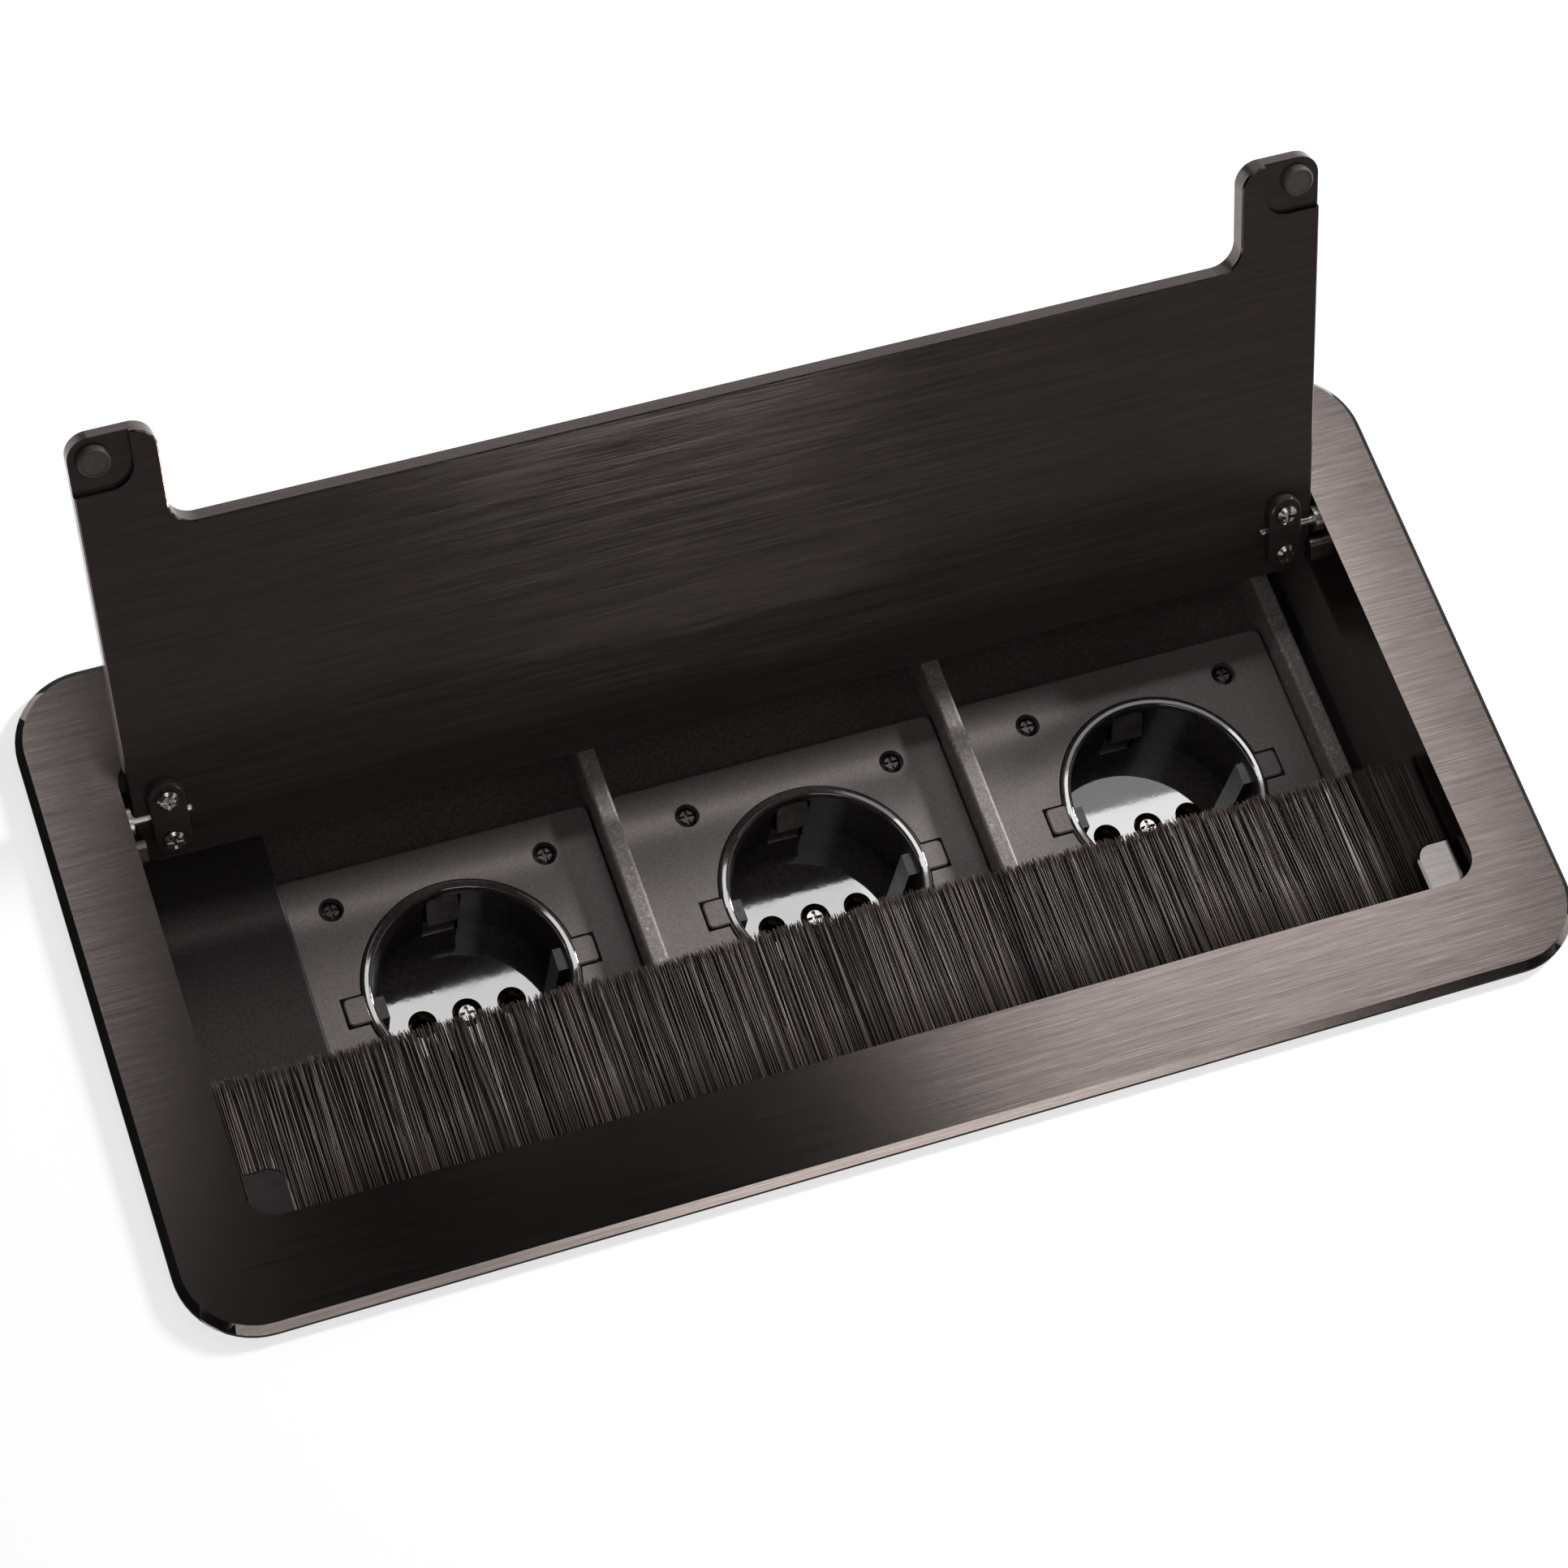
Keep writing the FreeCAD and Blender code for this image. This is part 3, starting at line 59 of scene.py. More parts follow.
# Places on the CAD pieces where one finish gives way to the next, or to painted shade on the rim and the
# lid's inner face
LID_INWARD = Vector((0.0, -0.8746, 0.4848))
LID_FACE_MATCH = 0.95
COLLAR_RADIUS = 22.4 * MM
WELL_FLOOR = -50.8 * MM
WELL_FLOOR_PLAY = 1.0 * MM
WELL_LIP = -34.6 * MM
RIM_X = 140.0 * MM
RIM_Y = 66.8 * MM

# How far a face looks up, to the front or to the side, from 0 to 1
STEEP_UP = 0.3
FLAT_UP = 0.9
BEVEL_UP = 0.95
FRONT_FACING = 0.5
FRONT_TURN = 0.35

# Brushed grain: scratches this many times longer than wide, and the shares of its layers
GRAIN_WIDTH = 4600.0
GRAIN_STRETCH = 48.0
FINE_SHARE = 0.62
BROAD_SHARE = 0.38
BROAD_SCALE = (0.32, 0.24, 0.24)
CLOUD_SCALE = 34.0
TONE_SHARE = 0.7
CLOUD_SHARE = 0.3
METAL_SPECULAR = 0.03
QUARTER_TURN = 0.25

# Coats and plating: how far their tints spread
COAT_SPREAD = 0.25
GLINT_LIFT = 3.0
PLATE_DULL = 0.8
PLATE_BRIGHT = 1.15
PLATE_GRAIN = 8

# One bristle: places along its length from root to tip, its width there, and its sides
FIBRE_SEED = 7
FIBRE_STATIONS = (0.0, 0.5, 0.93, 1.0)
FIBRE_WIDTHS = (1.0, 1.0, 0.9, 0.45)
FIBRE_SIDES = 3

# Scatter of the bristles: tufts and waves along the brush, and the share of each in lean, reach and tone
TUFTS = 160
WAVES = 40
COLUMN_JITTER = 0.35
LAYER_JITTER = 0.22
OWN_LEAN = 0.55
TUFT_LEAN = 0.7
WAVE_REACH = 0.35
DROOP = 0.30 * MM
DROOP_SPREAD = 0.25 * MM
MEAN_TONE = 0.36
WAVE_TONE = 0.11
OWN_TONE = 0.16
TUFT_TONE = 0.06

CAMERA_PLACE = Vector((-0.20072, -0.29249, 0.72697))
CAMERA_AIM = Vector((-0.00092, 0.00984, 0.0))
CAMERA_ROLL = math.radians(15.7835)
SENSOR_WIDTH = 36.0
CLIP_START = 0.01
CLIP_END = 50.0

# Lamps: place, aim, width and depth in metres, power in watts
LAMPS = {
    "softbox_key": ((0.696, 0.66, 1.60), (0.696, 0.66, 0.0), 0.41, 0.58, 1.55),
    "softbox_left": ((-0.16, 0.86, 1.60), (-0.16, 0.86, 0.0), 0.30, 0.52, 0.76),
    "strip_wells": ((0.075, 0.0937, 0.20), (0.075, 0.0937, 0.0), 0.26, 0.0173, 0.10),
    "softbox_right": ((1.312, 0.530, 0.745), (0.0, 0.0, 0.0), 0.12, 0.22, 35.0),
    "softbox_fill": ((-0.05, -0.70, 1.44), (0.0, 0.0, 0.0), 0.50, 0.50, 1.6),
    "softbox_top": ((-0.25, -0.40, 1.90), (-0.25, -0.40, 0.0), 0.90, 0.60, 0.6),
    "wall_front": ((-0.30, -2.20, 0.90), (0.0, 0.0, 0.0), 2.60, 0.90, 8.5),
    "wall_left": ((-2.20, 0.30, 0.95), (0.0, 0.0, 0.0), 2.00, 0.90, 6.0),
    "wall_right": ((2.20, -0.50, 0.95), (0.0, 0.0, 0.0), 2.00, 0.90, 5.0),
    "wall_back": ((0.0, 2.20, 1.10), (0.0, 0.0, 0.0), 3.20, 1.40, 13.0),
    "strip_front": ((0.36, -1.5, 0.06), (0.0, 0.06, 0.05), 0.22, 0.08, 3.4),
    "strip_edge": ((0.42, -1.5, 0.57), (0.0, -0.06, 0.0), 0.40, 0.12, 0.7),
    "strip_back": ((0.40, 1.5, 0.12), (0.0, 0.07, 0.07), 1.00, 0.25, 0.45),
}


def colour(name, description, value):
    """A colour that a user may change."""
    return FloatVectorProperty(name=name, description=description, subtype="COLOR", size=3, min=0, max=1,
                               default=value)


def length(name, description, value):
    """A length in metres that a user may change."""
    return FloatProperty(name=name, description=description, subtype="DISTANCE", unit="LENGTH", min=0,
                         default=value, precision=5)


def amount(name, description, value, most=1.0):
    """A plain number that a user may change."""
    return FloatProperty(name=name, description=description, min=0, max=most, default=value)


class UnitFinish(bpy.types.PropertyGroup):
    """Colours of the unit's finishes."""

    surround: colour("Surround", "Anodised aluminium of the surround", (0.215, 0.180, 0.170))
    # Painted shade: the lid face colour is far darker than the lid's aluminium and stands for the dark
    # reflection in its inner face.
    lid: colour("Lid face", "Dark anodised inner face of the lid", (0.037, 0.0292, 0.0276))
    milled: colour("Satin aluminium", "Ledges and the brush channel", (0.26, 0.238, 0.233))
    # The powder coat colour is lighter than the black coat it stands for: painted fill light in the shaded
    # tray and deck.
    powder: colour("Powder coat", "Tray and deck", (0.085, 0.071, 0.067))
    cover: colour("Cover", "Dark coat of the cable cover", (0.026, 0.022, 0.021))
    rail: colour("Rails", "Speckled coat of the cross rails", (0.21, 0.181, 0.174))
    panel: colour("Face panels", "Satin plastic of the panels", (0.165, 0.141, 0.136))
    well: colour("Plug wells", "Black plastic of the wells", (0.045, 0.038, 0.036))
    base: colour("Socket bases", "Grey plastic below the wells", (0.09, 0.09, 0.095))
    steel: colour("Bright steel", "Pins, bushes and earth straps", (0.62, 0.58, 0.56))
    screw: colour("Dark screws", "Blackened screws", (0.16, 0.145, 0.14))
    zinc: colour("Zinc plate", "Brackets and hidden screws", (0.56, 0.57, 0.57))
    brass: colour("Brass", "Contact sleeves, dull with age", (0.16, 0.11, 0.05))
    rubber: colour("Rubber", "Seal and pads", (0.042, 0.034, 0.033))
    nylon: colour("Nylon", "Gland body, nut and cap", (0.022, 0.022, 0.023))


class BrushSize(bpy.types.PropertyGroup):
    """The bristles of the cord outlet."""

    columns: IntProperty(name="Columns", description="Bristles side by side", default=900, min=10, max=3000)
    layers: IntProperty(name="Layers", description="Bristles on top of each other", default=6, min=1, max=12)
    diameter: length("Diameter", "Thickness of one bristle", 0.30 * MM)
    unevenness: length("Unevenness", "How much the tips differ in reach", 0.7 * MM)
    lean: amount("Lean", "Sideways lean of a bristle per length", 0.014)
    dark: colour("Dark bristle", "Colour of the darkest bristles", (0.012, 0.0095, 0.0085))
    light: colour("Light bristle", "Colour of the lightest bristles", (0.175, 0.134, 0.120))


class StudioStage(bpy.types.PropertyGroup):
    """Floor, ambience and lens."""

    floor: colour("Floor", "Desk top around the unit", (0.36, 0.36, 0.36))
    glow: amount("Glow", "Paleness of the desk top beside its lit colour", 0.69)
    cutout_length: length("Cut-out length", "Length of the hole in the desk top", 272 * MM)
    cutout_depth: length("Cut-out depth", "Depth of the hole in the desk top", 127 * MM)
    reach: length("Reach", "Half the size of the floor", 12.0)
    ambience: amount("Ambience", "Strength of the even light from all round", 0.004)
    lens: amount("Lens", "Focal length of the camera in millimetres", 94.15, 500.0)


class Shade:
    """Small helper that adds and joins the nodes of one tree."""

    def __init__(self, tree):
        self.tree = tree

    def add(self, kind, inputs=None, **settings):
        node = self.tree.nodes.new(kind)
        for name, value in settings.items():
            setattr(node, name, value)
        for name, value in (inputs or {}).items():
            self.feed(node.inputs[name], value)
        return node

    def feed(self, socket, value):
        if isinstance(value, bpy.types.NodeSocket):
            self.tree.links.new(value, socket)
        else:
            socket.default_value = value

    def math(self, operation, first, second):
        node = self.add("ShaderNodeMath", operation=operation)
        self.feed(node.inputs[0], first)
        self.feed(node.inputs[1], second)
        return node.outputs[0]

    def blend(self, first, first_share, second, second_share):
        """The sum of two values by their shares."""
        return self.math("ADD", self.math("MULTIPLY", first, first_share),
                         self.math("MULTIPLY", second, second_share))

    def stretched(self, vector, by):
        node = self.add("ShaderNodeVectorMath", operation="MULTIPLY")
        self.feed(node.inputs[0], vector)
        self.feed(node.inputs[1], by)
        return node.outputs[0]

    def ramp(self, value, low, high):
        """A value from 0 to 1, taken to run from low to high."""
        node = self.add("ShaderNodeMapRange", {"Value": value, "To Min": low, "To Max": high})
        return node.outputs["Result"]

    def widened(self, value, low, high):
        """A value from low to high, taken to run from 0 to 1."""
        node = self.add("ShaderNodeMapRange", {"Value": value, "From Min": low, "From Max": high})
        return node.outputs["Result"]

    def mix(self, factor, first, second):
        """A colour between two; a Mix node keeps its colour sockets at these places."""
        node = self.add("ShaderNodeMix", data_type="RGBA")
        self.feed(node.inputs["Factor"], factor)
        self.feed(node.inputs[6], first)
        self.feed(node.inputs[7], second)
        return node.outputs[2]

    def noise(self, vector, scale, detail, rough):
        node = self.add("ShaderNodeTexNoise", {"Vector": vector, "Scale": scale, "Detail": detail,
                                               "Roughness": rough})
        return node.outputs["Fac"]

    def place(self):
        return self.add("ShaderNodeTexCoord").outputs["Object"]

    def group(self, name, inputs):
        node = self.add("ShaderNodeGroup")
        node.node_tree = bpy.data.node_groups[name]
        for key, value in inputs.items():
            self.feed(node.inputs[key], value)
        return node.outputs

    def bump(self, surface, height, strength, distance):
        node = self.add("ShaderNodeBump", {"Strength": strength, "Distance": distance, "Height": height})
        self.feed(surface.inputs["Normal"], node.outputs[0])


def new_group(name, inputs, outputs):
    """An empty shader node group with named number sockets, and its helper, input and output nodes."""
    tree = bpy.data.node_groups.new(name, "ShaderNodeTree")
    for title, value in inputs.items():
        socket = tree.interface.new_socket(title, in_out="INPUT", socket_type="NodeSocketFloat")
        socket.default_value = value
    for title in outputs:
        tree.interface.new_socket(title, in_out="OUTPUT", socket_type="NodeSocketFloat")
    shade = Shade(tree)
    return shade, shade.add("NodeGroupInput").outputs, shade.add("NodeGroupOutput").inputs


def make_brushed_grain():
    """Straight scratches along X: a tone from 0 to 1, a height for the bump, and soft clouds."""
    shade, given, wanted = new_group("Brushed grain", {"Length": GRAIN_WIDTH / GRAIN_STRETCH,
                                                       "Width": GRAIN_WIDTH}, ("Tone", "Height", "Cloud"))
    place = shade.place()
    across = given["Width"]
    scale = shade.add("ShaderNodeCombineXYZ", {"X": given["Length"], "Y": across, "Z": across})
    fine_place = shade.stretched(place, scale.outputs[0])
    fine = shade.noise(fine_place, 1.0, detail=4.0, rough=0.65)
    broad = shade.noise(shade.stretched(fine_place, BROAD_SCALE), 1.0, detail=3.0, rough=0.6)
    shade.feed(wanted["Tone"], shade.widened(shade.blend(fine, FINE_SHARE, broad, BROAD_SHARE), 0.3, 0.7))
    shade.feed(wanted["Height"], fine)
    shade.feed(wanted["Cloud"], shade.noise(place, CLOUD_SCALE, detail=2.0, rough=0.5))


def make_fine_speckle():
    """Small pimples of a moulded or coated skin: a tone, a height and a few bright glints."""
    shade, given, wanted = new_group("Fine speckle", {"Grain": 1800.0}, ("Tone", "Height", "Glint"))
    place = shade.place()
    pimples = shade.noise(place, given["Grain"], detail=2.0, rough=0.6)
    shade.feed(wanted["Height"], pimples)
    shade.feed(wanted["Tone"], shade.widened(pimples, 0.35, 0.65))
    cells = shade.add("ShaderNodeTexVoronoi", {"Vector": place, "Scale": given["Grain"]})
    shade.feed(wanted["Glint"], shade.widened(cells.outputs["Color"], 0.82, 0.95))


def make_handling_marks():
    """Soft wiped patches and dust: a mask from 0 to 1."""
    shade, given, wanted = new_group("Handling marks", {"Patch": 60.0}, ("Mask",))
    patches = shade.noise(shade.place(), given["Patch"], detail=4.0, rough=0.6)
    shade.feed(wanted["Mask"], shade.widened(patches, 0.35, 0.7))


def new_material(name):
    """A material with an empty Principled surface; returns it with its helper and its shader."""
    material = bpy.data.materials.new(name)
    material.use_nodes = True
    material.node_tree.nodes.clear()
    shade = Shade(material.node_tree)
    surface = shade.add("ShaderNodeBsdfPrincipled")
    output = shade.add("ShaderNodeOutputMaterial")
    material.node_tree.links.new(surface.outputs[0], output.inputs["Surface"])
    return material, shade, surface


def shaded(tint, factor):
    """A colour made lighter or darker."""
    return tuple(min(1.0, part * factor) for part in tint)


def rgba(tint, factor=1.0):
    """A colour made lighter or darker, with full alpha."""
    return (*shaded(tint, factor), 1.0)


def brushed_metal(name, tint, rough=(0.12, 0.20), spread=0.42, stretch=0.65, metallic=1.0,
                  width=GRAIN_WIDTH):
    """Aluminium brushed along the long side; rough holds its light and then its dark scratches."""
    material, shade, surface = new_material(name)
    grain = shade.group("Brushed grain", {"Length": width / GRAIN_STRETCH, "Width": width})
    blend = shade.blend(grain["Tone"], TONE_SHARE, grain["Cloud"], CLOUD_SHARE)
    shade.feed(surface.inputs["Base Color"],
               shade.mix(blend, rgba(tint, 1 - spread), rgba(tint, 1 + spread)))
    light_rough, dark_rough = rough
    shade.feed(surface.inputs["Roughness"], shade.ramp(grain["Tone"], dark_rough, light_rough))
    surface.inputs["Metallic"].default_value = metallic
    surface.inputs["Specular IOR Level"].default_value = METAL_SPECULAR
    surface.inputs["Anisotropic"].default_value = stretch
    surface.inputs["Anisotropic Rotation"].default_value = QUARTER_TURN
    along = shade.add("ShaderNodeCombineXYZ", {"X": 1.0})
    shade.feed(surface.inputs["Tangent"], along.outputs[0])
    shade.bump(surface, grain["Height"], strength=0.35, distance=0.02 * MM)
    return material


def coated(name, tint, rough, grain, relief, glint=0.0, shine=0.5):
    """A skin of fine pimples: powder coat, moulded plastic, rubber or cast nylon."""
    material, shade, surface = new_material(name)
    speckle = shade.group("Fine speckle", {"Grain": grain})
    marks = shade.group("Handling marks", {})
    base = shade.mix(speckle["Tone"], rgba(tint, 1 - COAT_SPREAD), rgba(tint, 1 + COAT_SPREAD))
    if glint:
        base = shade.mix(shade.math("MULTIPLY", speckle["Glint"], glint), base, rgba(tint, GLINT_LIFT))
    shade.feed(surface.inputs["Base Color"], base)
    shade.feed(surface.inputs["Roughness"], shade.ramp(marks["Mask"], *rough))
    surface.inputs["Specular IOR Level"].default_value = shine
    shade.bump(surface, speckle["Height"], strength=0.5, distance=relief)
    return material


def plated(name, tint, rough, patch):
    """Plated or turned metal with soft patches."""
    material, shade, surface = new_material(name)
    marks = shade.group("Handling marks", {"Patch": patch})
    speckle = shade.group("Fine speckle", {"Grain": patch * PLATE_GRAIN})
    shade.feed(surface.inputs["Base Color"],
               shade.mix(marks["Mask"], rgba(tint, PLATE_DULL), rgba(tint, PLATE_BRIGHT)))
    shade.feed(surface.inputs["Roughness"], shade.ramp(speckle["Tone"], *rough))
    surface.inputs["Metallic"].default_value = 1.0
    return material


def bristle_material(brush):
    """Nylon fibres whose tone comes from an attribute of each fibre."""
    material, shade, surface = new_material("bristle_nylon")
    tone = shade.add("ShaderNodeAttribute", attribute_name="fibre_tone").outputs["Fac"]
    shade.feed(surface.inputs["Base Color"], shade.mix(tone, rgba(brush.dark), rgba(brush.light)))
    shade.feed(surface.inputs["Roughness"], shade.ramp(tone, 0.5, 0.36))
    surface.inputs["Specular IOR Level"].default_value = 0.25
    return material


def dress(material, *names):
    """Give a material to CAD nodes by name."""
    for name in names:
        slots = NODES[name].data.materials
        slots.clear()
        slots.append(material)


class UNIT_OT_groups(bpy.types.Operator):
    """Build the shared grain, speckle and wear effects"""

    bl_idname = "desk_unit.groups"
    bl_label = "Shared effects"

    def execute(self, context):
        make_brushed_grain()
        make_fine_speckle()
        make_handling_marks()
        return {"FINISHED"}


class UNIT_OT_surround(bpy.types.Operator):
    """Finish the surround, its ledges and its seal, and paint shade on its outer rim"""

    bl_idname = "desk_unit.surround"
    bl_label = "Surround"

    def execute(self, context):
        finish = context.scene.unit_finish
        dress(brushed_metal("surround_aluminium", finish.surround), "bezel_frame")
        # The outer rim gets a near-black coat that paints the shade along its sides and its side and rear
        # bevels.
        self.paint_rim_shade(NODES["bezel_frame"].data, shaded(finish.rubber, 0.12))
        milled = brushed_metal("satin_aluminium", finish.milled, rough=(0.14, 0.20), spread=0.15,
                               stretch=0.2)
        dress(milled, "rest_ledge_left", "rest_ledge_right", "brush_channel")
        rubber = coated("seal_rubber", shaded(finish.rubber, 0.2), (0.7, 0.85), grain=2600, relief=0.03 * MM)
        dress(rubber, "desk_seal", "gland_seal")
        return {"FINISHED"}

    def paint_rim_shade(self, mesh, tint):
        """Paint shade on the outer rim as a near-black coat on its sides and bevels, apart from the bevel
        along the front, which stays bright metal.
        """
        # Near-black coat made from the rubber colour: painted shade on the rim.
        shade_film = coated("rim_painted_shade", tint, (0.5, 0.65), grain=2600, relief=0.02 * MM, shine=0.05)
        mesh.materials.append(shade_film)
        for polygon in mesh.polygons:
            outer = abs(polygon.center.x) > RIM_X or abs(polygon.center.y) > RIM_Y
            steep = polygon.normal.z < STEEP_UP
            front = polygon.normal.y < -FRONT_FACING and abs(polygon.normal.x) < FRONT_TURN
            bevel = polygon.normal.z < BEVEL_UP and not front
            polygon.material_index = int(outer and (steep or bevel))


class UNIT_OT_lid(bpy.types.Operator):
    """Finish the lid, its pads and its hinges"""

    bl_idname = "desk_unit.lid"
    bl_label = "Lid and hinges"

    def execute(self, context):
        finish = context.scene.unit_finish
        # The lid's aluminium is the surround colour darkened to 0.6: painted shade on the lid's edges and
        # outer side.
        shaded_shell = brushed_metal("lid_aluminium", shaded(finish.surround, 0.6))
        # The inner face gets a much darker colour than the rest of the lid: painted shade standing in for a
        # dark reflection.
        face = brushed_metal("lid_face_painted_shade", finish.lid, rough=(0.18, 0.05), spread=0.4, stretch=0.3,
                             metallic=0.2, width=2800.0)
        dress(shaded_shell, "lid")
        mesh = NODES["lid"].data
        mesh.materials.append(face)
        for polygon in mesh.polygons:
            polygon.material_index = int(polygon.normal.dot(LID_INWARD) > LID_FACE_MATCH)
        pads = coated("pad_rubber", shaded(finish.rubber, 1.2), (0.42, 0.62), grain=3200, relief=0.02 * MM,
                      shine=0.2)
        dress(pads, "lid_pad_left", "lid_pad_right")
        stop = brushed_metal("stop_aluminium", finish.surround, rough=(0.30, 0.42), spread=0.2, stretch=0.2)
        dress(stop, "lid_stop_left", "lid_stop_right")
        # The hinge clamps take the same painted shade as the lid's inner face.
        dress(face, "hinge_clamp_left", "hinge_clamp_right")
        steel = plated("bright_steel", finish.steel, (0.28, 0.42), patch=420)
        dress(steel, *(f"hinge_{part}_{side}" for part in ("pin", "bush") for side in SIDES))
        screw = plated("hinge_screw_steel", shaded(finish.screw, 3.0), (0.16, 0.28), patch=500)
        dress(screw, "hinge_screws")
        return {"FINISHED"}


def scatter_fibres(brush, low, high, dice):
    """Root place, lean, tip, droop and tone of every bristle."""
    number = brush.columns * brush.layers
    radius = brush.diameter / 2
    column, layer = np.meshgrid(np.arange(brush.columns), np.arange(brush.layers), indexing="ij")
    column, layer = column.ravel(), layer.ravel()
    step = (high.x - low.x - 2 * radius) / (brush.columns - 1)
    rise = (high.z - low.z - 2 * radius) / max(1, brush.layers - 1)
    x = low.x + radius + column * step + dice.normal(0, step * COLUMN_JITTER, number)
    z = low.z + radius + layer * rise + dice.normal(0, rise * LAYER_JITTER, number)
    tuft = np.interp(x, np.linspace(low.x, high.x, TUFTS), dice.normal(0, 1, TUFTS))
    wave = np.interp(x, np.linspace(low.x, high.x, WAVES), dice.normal(0, 1, WAVES))
    lean = (dice.normal(0, OWN_LEAN, number) + TUFT_LEAN * tuft) * brush.lean * (high.y - low.y)
    short = abs(dice.normal(0, 1, number)) * brush.unevenness
    tip = high.y - short + wave * brush.unevenness * WAVE_REACH
    droop = dice.normal(0, DROOP_SPREAD, number) - DROOP
    own_tone = OWN_TONE * dice.normal(0, 1, number)
    tone = np.clip(MEAN_TONE + WAVE_TONE * wave + own_tone + TUFT_TONE * tuft, 0, 1)
    return x, z, lean, tip, droop, tone


def fibre_faces(first):
    """Sides, tip and root of the bristle whose points start at a given number."""
    faces = []
    rings = len(FIBRE_STATIONS) - 1
    for ring in range(rings):
        start = first + ring * FIBRE_SIDES
        onward = start + FIBRE_SIDES
        for side in range(FIBRE_SIDES):
            after = (side + 1) % FIBRE_SIDES
            faces.append((start + side, onward + side, onward + after, start + after))
    last = first + rings * FIBRE_SIDES
    faces.append(tuple(last + side for side in reversed(range(FIBRE_SIDES))))
    faces.append(tuple(first + side for side in range(FIBRE_SIDES)))
    return faces


def fibre_mesh(brush, low, high):
    """All bristles as thin tapered prisms in one mesh that carries their tones."""
    dice = np.random.default_rng(FIBRE_SEED)
    radius = brush.diameter / 2
    points, faces, tones = [], [], []
    for x, z, lean, tip, droop, tone in zip(*scatter_fibres(brush, low, high, dice)):
        faces.extend(fibre_faces(len(points)))
        turn = dice.uniform(0, 2 * math.pi)
        for station, width in zip(FIBRE_STATIONS, FIBRE_WIDTHS):
            bend = station * station
            centre_x = min(max(x + lean * bend, low.x), high.x)
            centre_z = min(max(z + droop * bend, low.z), high.z)
            y = low.y + (tip - low.y) * station
            for side in range(FIBRE_SIDES):
                angle = turn + 2 * math.pi * side / FIBRE_SIDES
                points.append((centre_x + radius * width * math.cos(angle), y,
                               centre_z + radius * width * math.sin(angle)))
                tones.append(tone)
    mesh = bpy.data.meshes.new("brush_fibres")
    mesh.from_pydata(points, [], faces)
    attribute = mesh.attributes.new("fibre_tone", "FLOAT", "POINT")
    attribute.data.foreach_set("value", np.array(tones, dtype=np.float32))
    mesh.polygons.foreach_set("use_smooth", [True] * len(mesh.polygons))
    return mesh


class UNIT_OT_brush(bpy.types.Operator):
    """Grow the bristles of the cord outlet in place of the plain slab"""

    bl_idname = "desk_unit.brush"
    bl_label = "Brush"

    def execute(self, context):
        brush = context.scene.unit_brush
        low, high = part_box("brush_bristles")
        mesh = fibre_mesh(brush, low, high)
        mesh.materials.append(bristle_material(brush))
        fibres = bpy.data.objects.new("brush_fibres", mesh)
        context.scene.collection.objects.link(fibres)
        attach(fibres, "base")
        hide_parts("brush_bristles")
        return {"FINISHED"}


class UNIT_OT_tray(bpy.types.Operator):
    """Finish the tray, the deck, its rails and its cover"""

    bl_idname = "desk_unit.tray"
    bl_label = "Tray and deck"

    def execute(self, context):
        finish = context.scene.unit_finish
        # Tray and deck coat, lighter than black: painted fill light in the shaded recess.
        powder = coated("black_powder_coat", finish.powder, (0.5, 0.66),
                        grain=1500, relief=0.06 * MM, shine=0.25)
        dress(powder, "tray_housing", "socket_deck")
        cover = coated("dark_powder_coat", finish.cover, (0.5, 0.66),
                       grain=1500, relief=0.06 * MM, shine=0.2)
        dress(cover, "cable_cover")
        speckled = coated("rail_powder_coat", finish.rail, (0.45, 0.6),
                          grain=1500, relief=0.10 * MM, glint=0.6)
        dress(speckled, *(f"cross_rail_{number}" for number in SOCKETS))
        return {"FINISHED"}


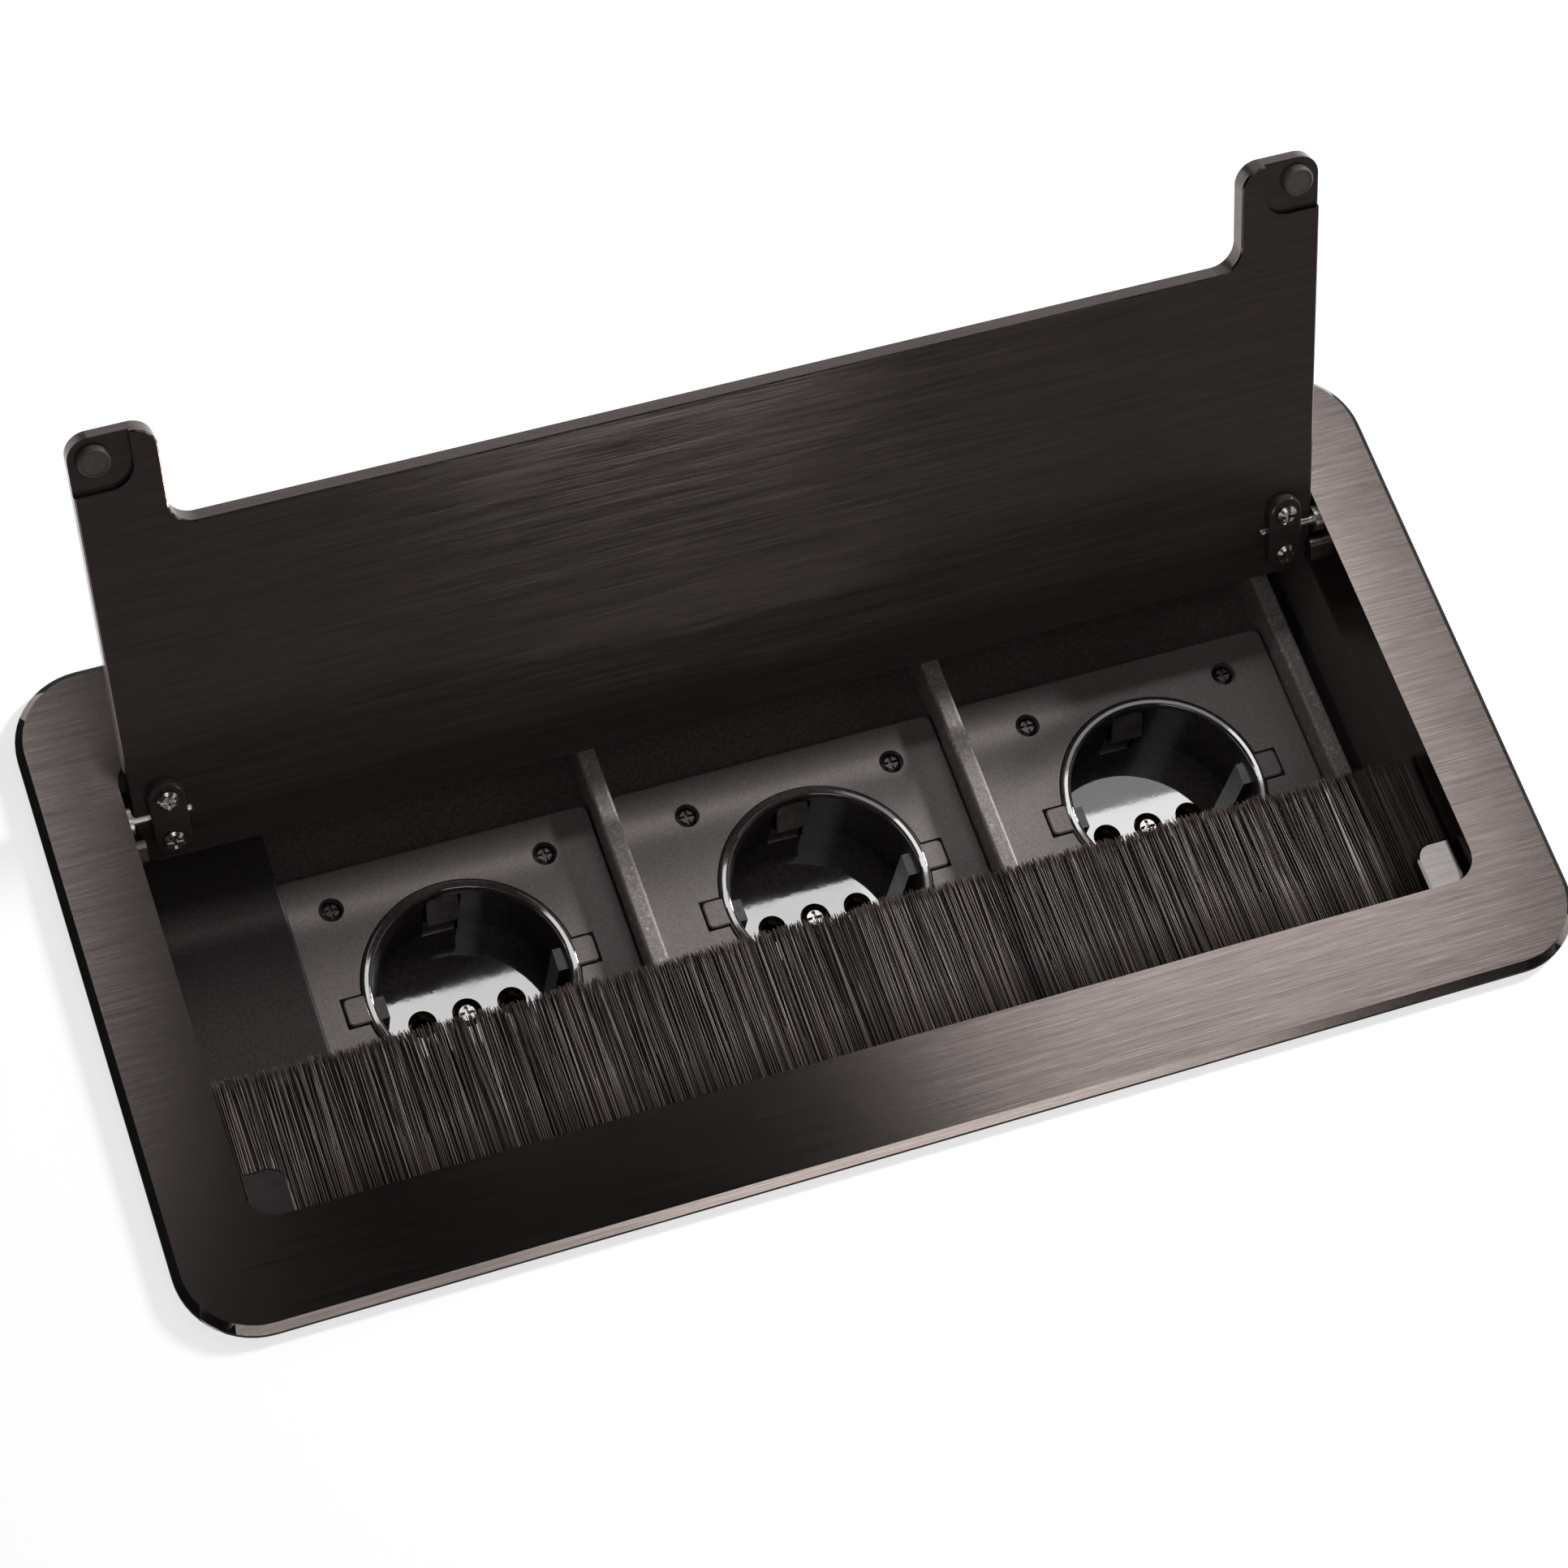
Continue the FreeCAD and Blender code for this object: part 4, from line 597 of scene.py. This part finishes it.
class UNIT_OT_sockets(bpy.types.Operator):
    """Finish the face panels, wells, contacts and their screws"""

    bl_idname = "desk_unit.sockets"
    bl_label = "Sockets"

    def execute(self, context):
        finish = context.scene.unit_finish
        panel = coated("satin_plastic", finish.panel, (0.42, 0.52),
                       grain=3600, relief=0.012 * MM, shine=0.35)
        well = coated("satin_black_plastic", finish.well, (0.20, 0.30),
                      grain=900, relief=0.004 * MM, shine=0.3)
        gloss = coated("gloss_black_plastic", finish.well, (0.02, 0.05),
                       grain=900, relief=0.002 * MM, shine=1.0)
        base = coated("grey_plastic", finish.base, (0.5, 0.65), grain=2400, relief=0.03 * MM)
        brass = plated("dull_brass", finish.brass, (0.3, 0.44), patch=300)
        spring = plated("spring_steel", finish.steel, (0.42, 0.56), patch=380)
        dark = plated("blackened_screw", shaded(finish.screw, 0.5), (0.22, 0.4), patch=500)
        centre = plated("socket_screw_steel", shaded(finish.steel, 0.6), (0.16, 0.3), patch=500)
        for number in SOCKETS:
            dress(panel, f"face_panel_{number}")
            dress(well, f"socket_well_{number}")
            self.dress_well(NODES[f"socket_well_{number}"].data, panel, gloss)
            dress(base, f"socket_base_{number}")
            dress(brass, f"contact_sleeves_{number}")
            dress(spring, f"earth_strap_{number}")
            dress(dark, f"panel_screws_{number}")
        dress(centre, "socket_centre_screws")
        return {"FINISHED"}

    def dress_well(self, mesh, key_finish, gloss_finish):
        """Give the tops of a well's side keys the finish of the panel, and its floor and lip a gloss."""
        mesh.materials.append(key_finish)
        mesh.materials.append(gloss_finish)
        middle = (min(v.co.x for v in mesh.vertices) + max(v.co.x for v in mesh.vertices)) / 2
        for polygon in mesh.polygons:
            place, up = polygon.center, polygon.normal.z
            key_top = math.hypot(place.x - middle, place.y) > COLLAR_RADIUS and up > STEEP_UP
            floor = up > FLAT_UP and abs(place.z - WELL_FLOOR) < WELL_FLOOR_PLAY
            lip = place.z > WELL_LIP
            polygon.material_index = 1 if key_top else 2 * int(floor or lip)


class UNIT_OT_underside(bpy.types.Operator):
    """Finish the gland, the brackets and the screws under the desk"""

    bl_idname = "desk_unit.underside"
    bl_label = "Underside"

    def execute(self, context):
        finish = context.scene.unit_finish
        nylon = coated("gland_nylon", finish.nylon, (0.42, 0.58), grain=2800, relief=0.04 * MM)
        dress(nylon, "gland_body", "gland_nut", "gland_cap")
        zinc = plated("zinc_steel", finish.zinc, (0.28, 0.42), patch=160)
        dress(zinc, "desk_bracket_left", "desk_bracket_right", "bracket_bolts_left", "bracket_bolts_right",
              "tray_screws", "deck_screws_front", "deck_screws_rear", "rail_screws", "brush_screws")
        return {"FINISHED"}


class UNIT_OT_stage(bpy.types.Operator):
    """Lay the desk top, hang the lamps and set the camera"""

    bl_idname = "desk_unit.stage"
    bl_label = "Stage"

    def execute(self, context):
        stage = context.scene.unit_stage
        self.lay_floor(context, stage)
        self.hang_lamps(context)
        self.set_camera(context, stage)
        world = bpy.data.worlds.new("studio")
        world.use_nodes = True
        background = world.node_tree.nodes["Background"]
        background.inputs["Color"].default_value = (1.0, 1.0, 1.0, 1.0)
        background.inputs["Strength"].default_value = stage.ambience
        context.scene.world = world
        context.scene.view_settings.view_transform = "Standard"
        return {"FINISHED"}

    def lay_floor(self, context, stage):
        """A frame of four faces around the cut-out of the desk."""
        inner = (stage.cutout_length / 2, stage.cutout_depth / 2)
        outer = (stage.reach, stage.reach)
        corners = ((-1, -1), (1, -1), (1, 1), (-1, 1))
        points = [(sx * half[0], sy * half[1], 0.0) for half in (inner, outer) for sx, sy in corners]
        faces = [(n, n + 4, (n + 1) % 4 + 4, (n + 1) % 4) for n in range(4)]
        mesh = bpy.data.meshes.new("desk_top")
        mesh.from_pydata(points, [], faces)
        mesh.materials.append(self.floor_material(stage))
        floor = bpy.data.objects.new("desk_top", mesh)
        context.scene.collection.objects.link(floor)

    def floor_material(self, stage):
        """A pale desk top that takes shadows from above and is clear from below."""
        material, shade, surface = new_material("pale_floor")
        marks = shade.group("Handling marks", {"Patch": 3.0})
        shade.feed(surface.inputs["Base Color"],
                   shade.mix(marks["Mask"], rgba(stage.floor, 0.99), rgba(stage.floor)))
        surface.inputs["Roughness"].default_value = 0.9
        surface.inputs["Specular IOR Level"].default_value = 0.0
        ray = shade.add("ShaderNodeLightPath").outputs
        seen = shade.math("MAXIMUM", ray["Is Camera Ray"],
                          shade.math("MAXIMUM", ray["Is Glossy Ray"], ray["Is Transmission Ray"]))
        surface.inputs["Emission Color"].default_value = (1.0, 1.0, 1.0, 1.0)
        shade.feed(surface.inputs["Emission Strength"], shade.math("MULTIPLY", seen, stage.glow))
        clear = shade.add("ShaderNodeBsdfTransparent")
        both = shade.add("ShaderNodeMixShader")
        shade.feed(both.inputs[0], shade.add("ShaderNodeNewGeometry").outputs["Backfacing"])
        shade.feed(both.inputs[1], surface.outputs[0])
        shade.feed(both.inputs[2], clear.outputs[0])
        shade.feed(shade.tree.nodes["Material Output"].inputs["Surface"], both.outputs[0])
        material.cycles.emission_sampling = "NONE"
        return material

    def hang_lamps(self, context):
        """Lamps that light the unit and show in its metal, and not in the picture itself."""
        for name, (place, aim, width, depth, power) in LAMPS.items():
            data = bpy.data.lights.new(name, "AREA")
            data.shape = "RECTANGLE"
            data.size = width
            data.size_y = depth
            data.energy = power
            lamp = bpy.data.objects.new(name, data)
            lamp.location = place
            lamp.visible_camera = False
            lamp.rotation_euler = (Vector(aim) - Vector(place)).to_track_quat("-Z", "Y").to_euler()
            context.scene.collection.objects.link(lamp)

    def set_camera(self, context, stage):
        """The photograph's point of view."""
        data = bpy.data.cameras.new("photo_camera")
        data.lens = stage.lens
        data.sensor_width = SENSOR_WIDTH
        data.clip_start = CLIP_START
        data.clip_end = CLIP_END
        camera = bpy.data.objects.new("photo_camera", data)
        straight = (CAMERA_AIM - CAMERA_PLACE).to_track_quat("-Z", "Y").to_matrix().to_4x4()
        camera.matrix_world = (Matrix.Translation(CAMERA_PLACE) @ straight
                               @ Matrix.Rotation(CAMERA_ROLL, 4, "Z"))
        context.scene.collection.objects.link(camera)
        context.scene.camera = camera


class UNIT_PT_looks(bpy.types.Panel):
    """Sidebar panel that lists the sizes, colours and steps"""

    bl_idname = "UNIT_PT_looks"
    bl_label = "Desk socket unit"
    bl_space_type = "VIEW_3D"
    bl_region_type = "UI"
    bl_category = "Desk unit"

    def draw(self, context):
        for group in (context.scene.unit_finish, context.scene.unit_brush, context.scene.unit_stage):
            box = self.layout.box()
            for name in group.__annotations__:
                box.prop(group, name)
        for step in STEPS:
            self.layout.operator(step.bl_idname)


STEPS = (UNIT_OT_groups, UNIT_OT_surround, UNIT_OT_lid, UNIT_OT_brush, UNIT_OT_tray, UNIT_OT_sockets,
         UNIT_OT_underside, UNIT_OT_stage)
CLASSES = (UnitFinish, BrushSize, StudioStage, *STEPS, UNIT_PT_looks)
GROUPS = {"unit_finish": UnitFinish, "unit_brush": BrushSize, "unit_stage": StudioStage}


def register():
    for item in CLASSES:
        bpy.utils.register_class(item)
    for name, item in GROUPS.items():
        setattr(bpy.types.Scene, name, PointerProperty(type=item))


def unregister():
    for name in GROUPS:
        delattr(bpy.types.Scene, name)
    for item in reversed(CLASSES):
        bpy.utils.unregister_class(item)


def main():
    register()
    for step in STEPS:
        module, name = step.bl_idname.split(".")
        getattr(getattr(bpy.ops, module), name)()


if __name__ == "__main__":
    main()
